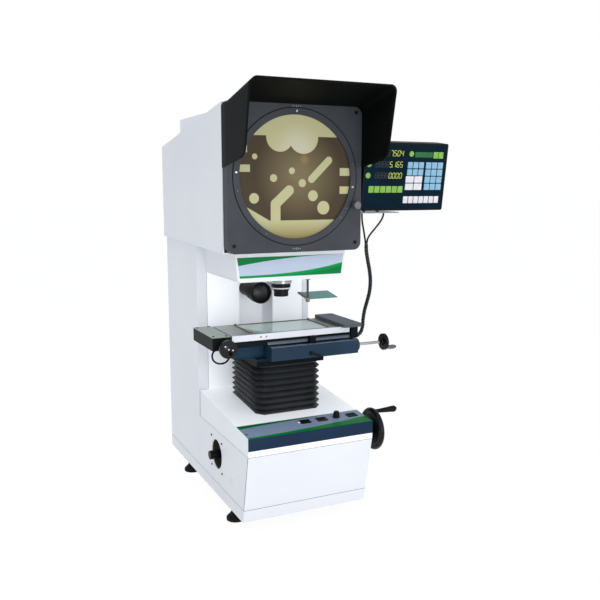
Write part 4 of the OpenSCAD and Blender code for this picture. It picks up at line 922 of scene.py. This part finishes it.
# painted shade: faint grey tubes along the side seams stand for the shadowed gaps
makePiece("sideSeams", sideLines, surfaceFinish("seamPaintedShadeGrey", "#8B9097", "#7D8289", 0.6, 0.8, 0.1),
          "root")
led = {"x": -14, "y": -142, "rise": 1.5,
       "profile": [[0, 0], [3.2, 0], [3.2, 1.0], [2.4, 2.2], [1.2, 2.9], [0, 3.1]]}
ledAt = (led["x"], led["y"], deckAt(led["y"]) + led["rise"])
makePiece("powerLamp", [placed(turned(led["profile"], 24), ledAt, **deckUp)], finishes["whitePlastic"],
          "root")
latch = {"half": (5, 9), "r": 3, "levels": [(0, -0.2), (0, 1.6), (0.8, 2.4)], "at": (-173.5, -72, 114)}
makePiece("latchTab", [placed(tile(*latch["half"], latch["r"], latch["levels"]), latch["at"], **sideways)],
          finishes["whitePlastic"], "root")
# The illuminator's lens, as (radius, depth behind the barrel's rim)
rimLens = {"at": (0, 138, 568), "profile": [[0, -1.6], [10, -2.6], [20, -4.6], [25.5, -6.6], [26.2, -7.2],
                                            [26.2, -8.4], [0, -8.4]]}
makePiece("illuminatorLens", [placed(turned(rimLens["profile"], 40), rimLens["at"], **front)],
          finishes["smokedGlass"], "root")
print("trim made")

# Pale floor: its own glow to rays from the camera, metal or glass, and matte to all other light
floorLook = {"half": 40, "share": 0.92, "matte": "#F6F6F6", "glow": 1.03}
floorMesh = bpy.data.meshes.new("paleFloor")
floorMesh.from_pydata([(x * floorLook["half"], y * floorLook["half"], 0)
                       for x, y in ((-1, -1), (1, -1), (1, 1), (-1, 1))], [], [(0, 1, 2, 3)])
floor = bpy.data.objects.new("paleFloor", floorMesh)
collection.objects.link(floor)
floorMat = bpy.data.materials.new("paleFloor")
floorMat.use_nodes = True
tree = floorMat.node_tree
tree.nodes.clear()
ray = addNode(tree, "ShaderNodeLightPath")
seen = mathNode(tree, "MAXIMUM", (ray, "Is Camera Ray"), (ray, "Is Glossy Ray"))
seen = mathNode(tree, "MAXIMUM", (seen, 0), (ray, "Is Transmission Ray"))
share = mathNode(tree, "MULTIPLY", (seen, 0), floorLook["share"])
matte = addNode(tree, "ShaderNodeBsdfDiffuse", inputs={"Color": hexLinear(floorLook["matte"])})
glow = addNode(tree, "ShaderNodeEmission", inputs={"Color": (1, 1, 1, 1), "Strength": floorLook["glow"]})
mix = addNode(tree, "ShaderNodeMixShader", inputs={0: (share, 0), 1: (matte, 0), 2: (glow, 0)})
addNode(tree, "ShaderNodeOutputMaterial", inputs={0: (mix, 0)})
floorMesh.materials.append(floorMat)

# World: white to the camera and through glass, soft and faintly blue as light
sky = {"colour": "#EEF2F8", "strength": 0.75}
world = bpy.data.worlds.new("studio")
bpy.context.scene.world = world
world.use_nodes = True
tree = world.node_tree
tree.nodes.clear()
ray = addNode(tree, "ShaderNodeLightPath")
seen = mathNode(tree, "MAXIMUM", (ray, "Is Camera Ray"), (ray, "Is Transmission Ray"))
soft = addNode(tree, "ShaderNodeBackground",
               inputs={"Color": hexLinear(sky["colour"]), "Strength": sky["strength"]})
white = addNode(tree, "ShaderNodeBackground", inputs={"Color": (1, 1, 1, 1), "Strength": 1.0})
mix = addNode(tree, "ShaderNodeMixShader", inputs={0: (seen, 0), 1: (soft, 0), 2: (white, 0)})
addNode(tree, "ShaderNodeOutputWorld", inputs={0: (mix, 0)})

# Soft lamps as name: place, aim, watts, size and the collection that alone is lit by it
# One lamp fills only the shaded room under the head: the deck and the front of the column
workSpace = bpy.data.collections.new("workSpace")
for nodeName in ("base_top", "column_frame"):
    workSpace.objects.link(nodes[nodeName])
lamps = {"keySoftbox": ((-1.5, -2.4, 2.2), (0, 0, 0.6), 10.0, 1.6, None),
         "frontSoftbox": ((0.1, -2.9, 0.62), (0, 0.1, 0.5), 16.0, 1.1, None),
         "fillSoftbox": ((2.2, -1.9, 1.5), (0.1, 0, 0.6), 9.0, 1.8, None),
         "topSoftbox": ((0.0, 0.2, 2.9), (0, 0, 0.6), 14.0, 2.0, None),
         "workSoftbox": ((-0.3, -1.6, 1.9), (0, 0, 0.4), 26.0, 1.2, workSpace)}
for lampName, (place, aim, watts, size, only) in lamps.items():
    lampData = bpy.data.lights.new(lampName, "AREA")
    lampData.energy, lampData.size = watts, size
    lamp = bpy.data.objects.new(lampName, lampData)
    lamp.location = place
    lookAlong(lamp, Vector(aim) - Vector(place))
    collection.objects.link(lamp)
    if only:
        lamp.light_linking.receiver_collection = only
        lamp.light_linking.blocker_collection = only
bpy.context.scene.view_settings.view_transform = "Standard"
print("studio set")
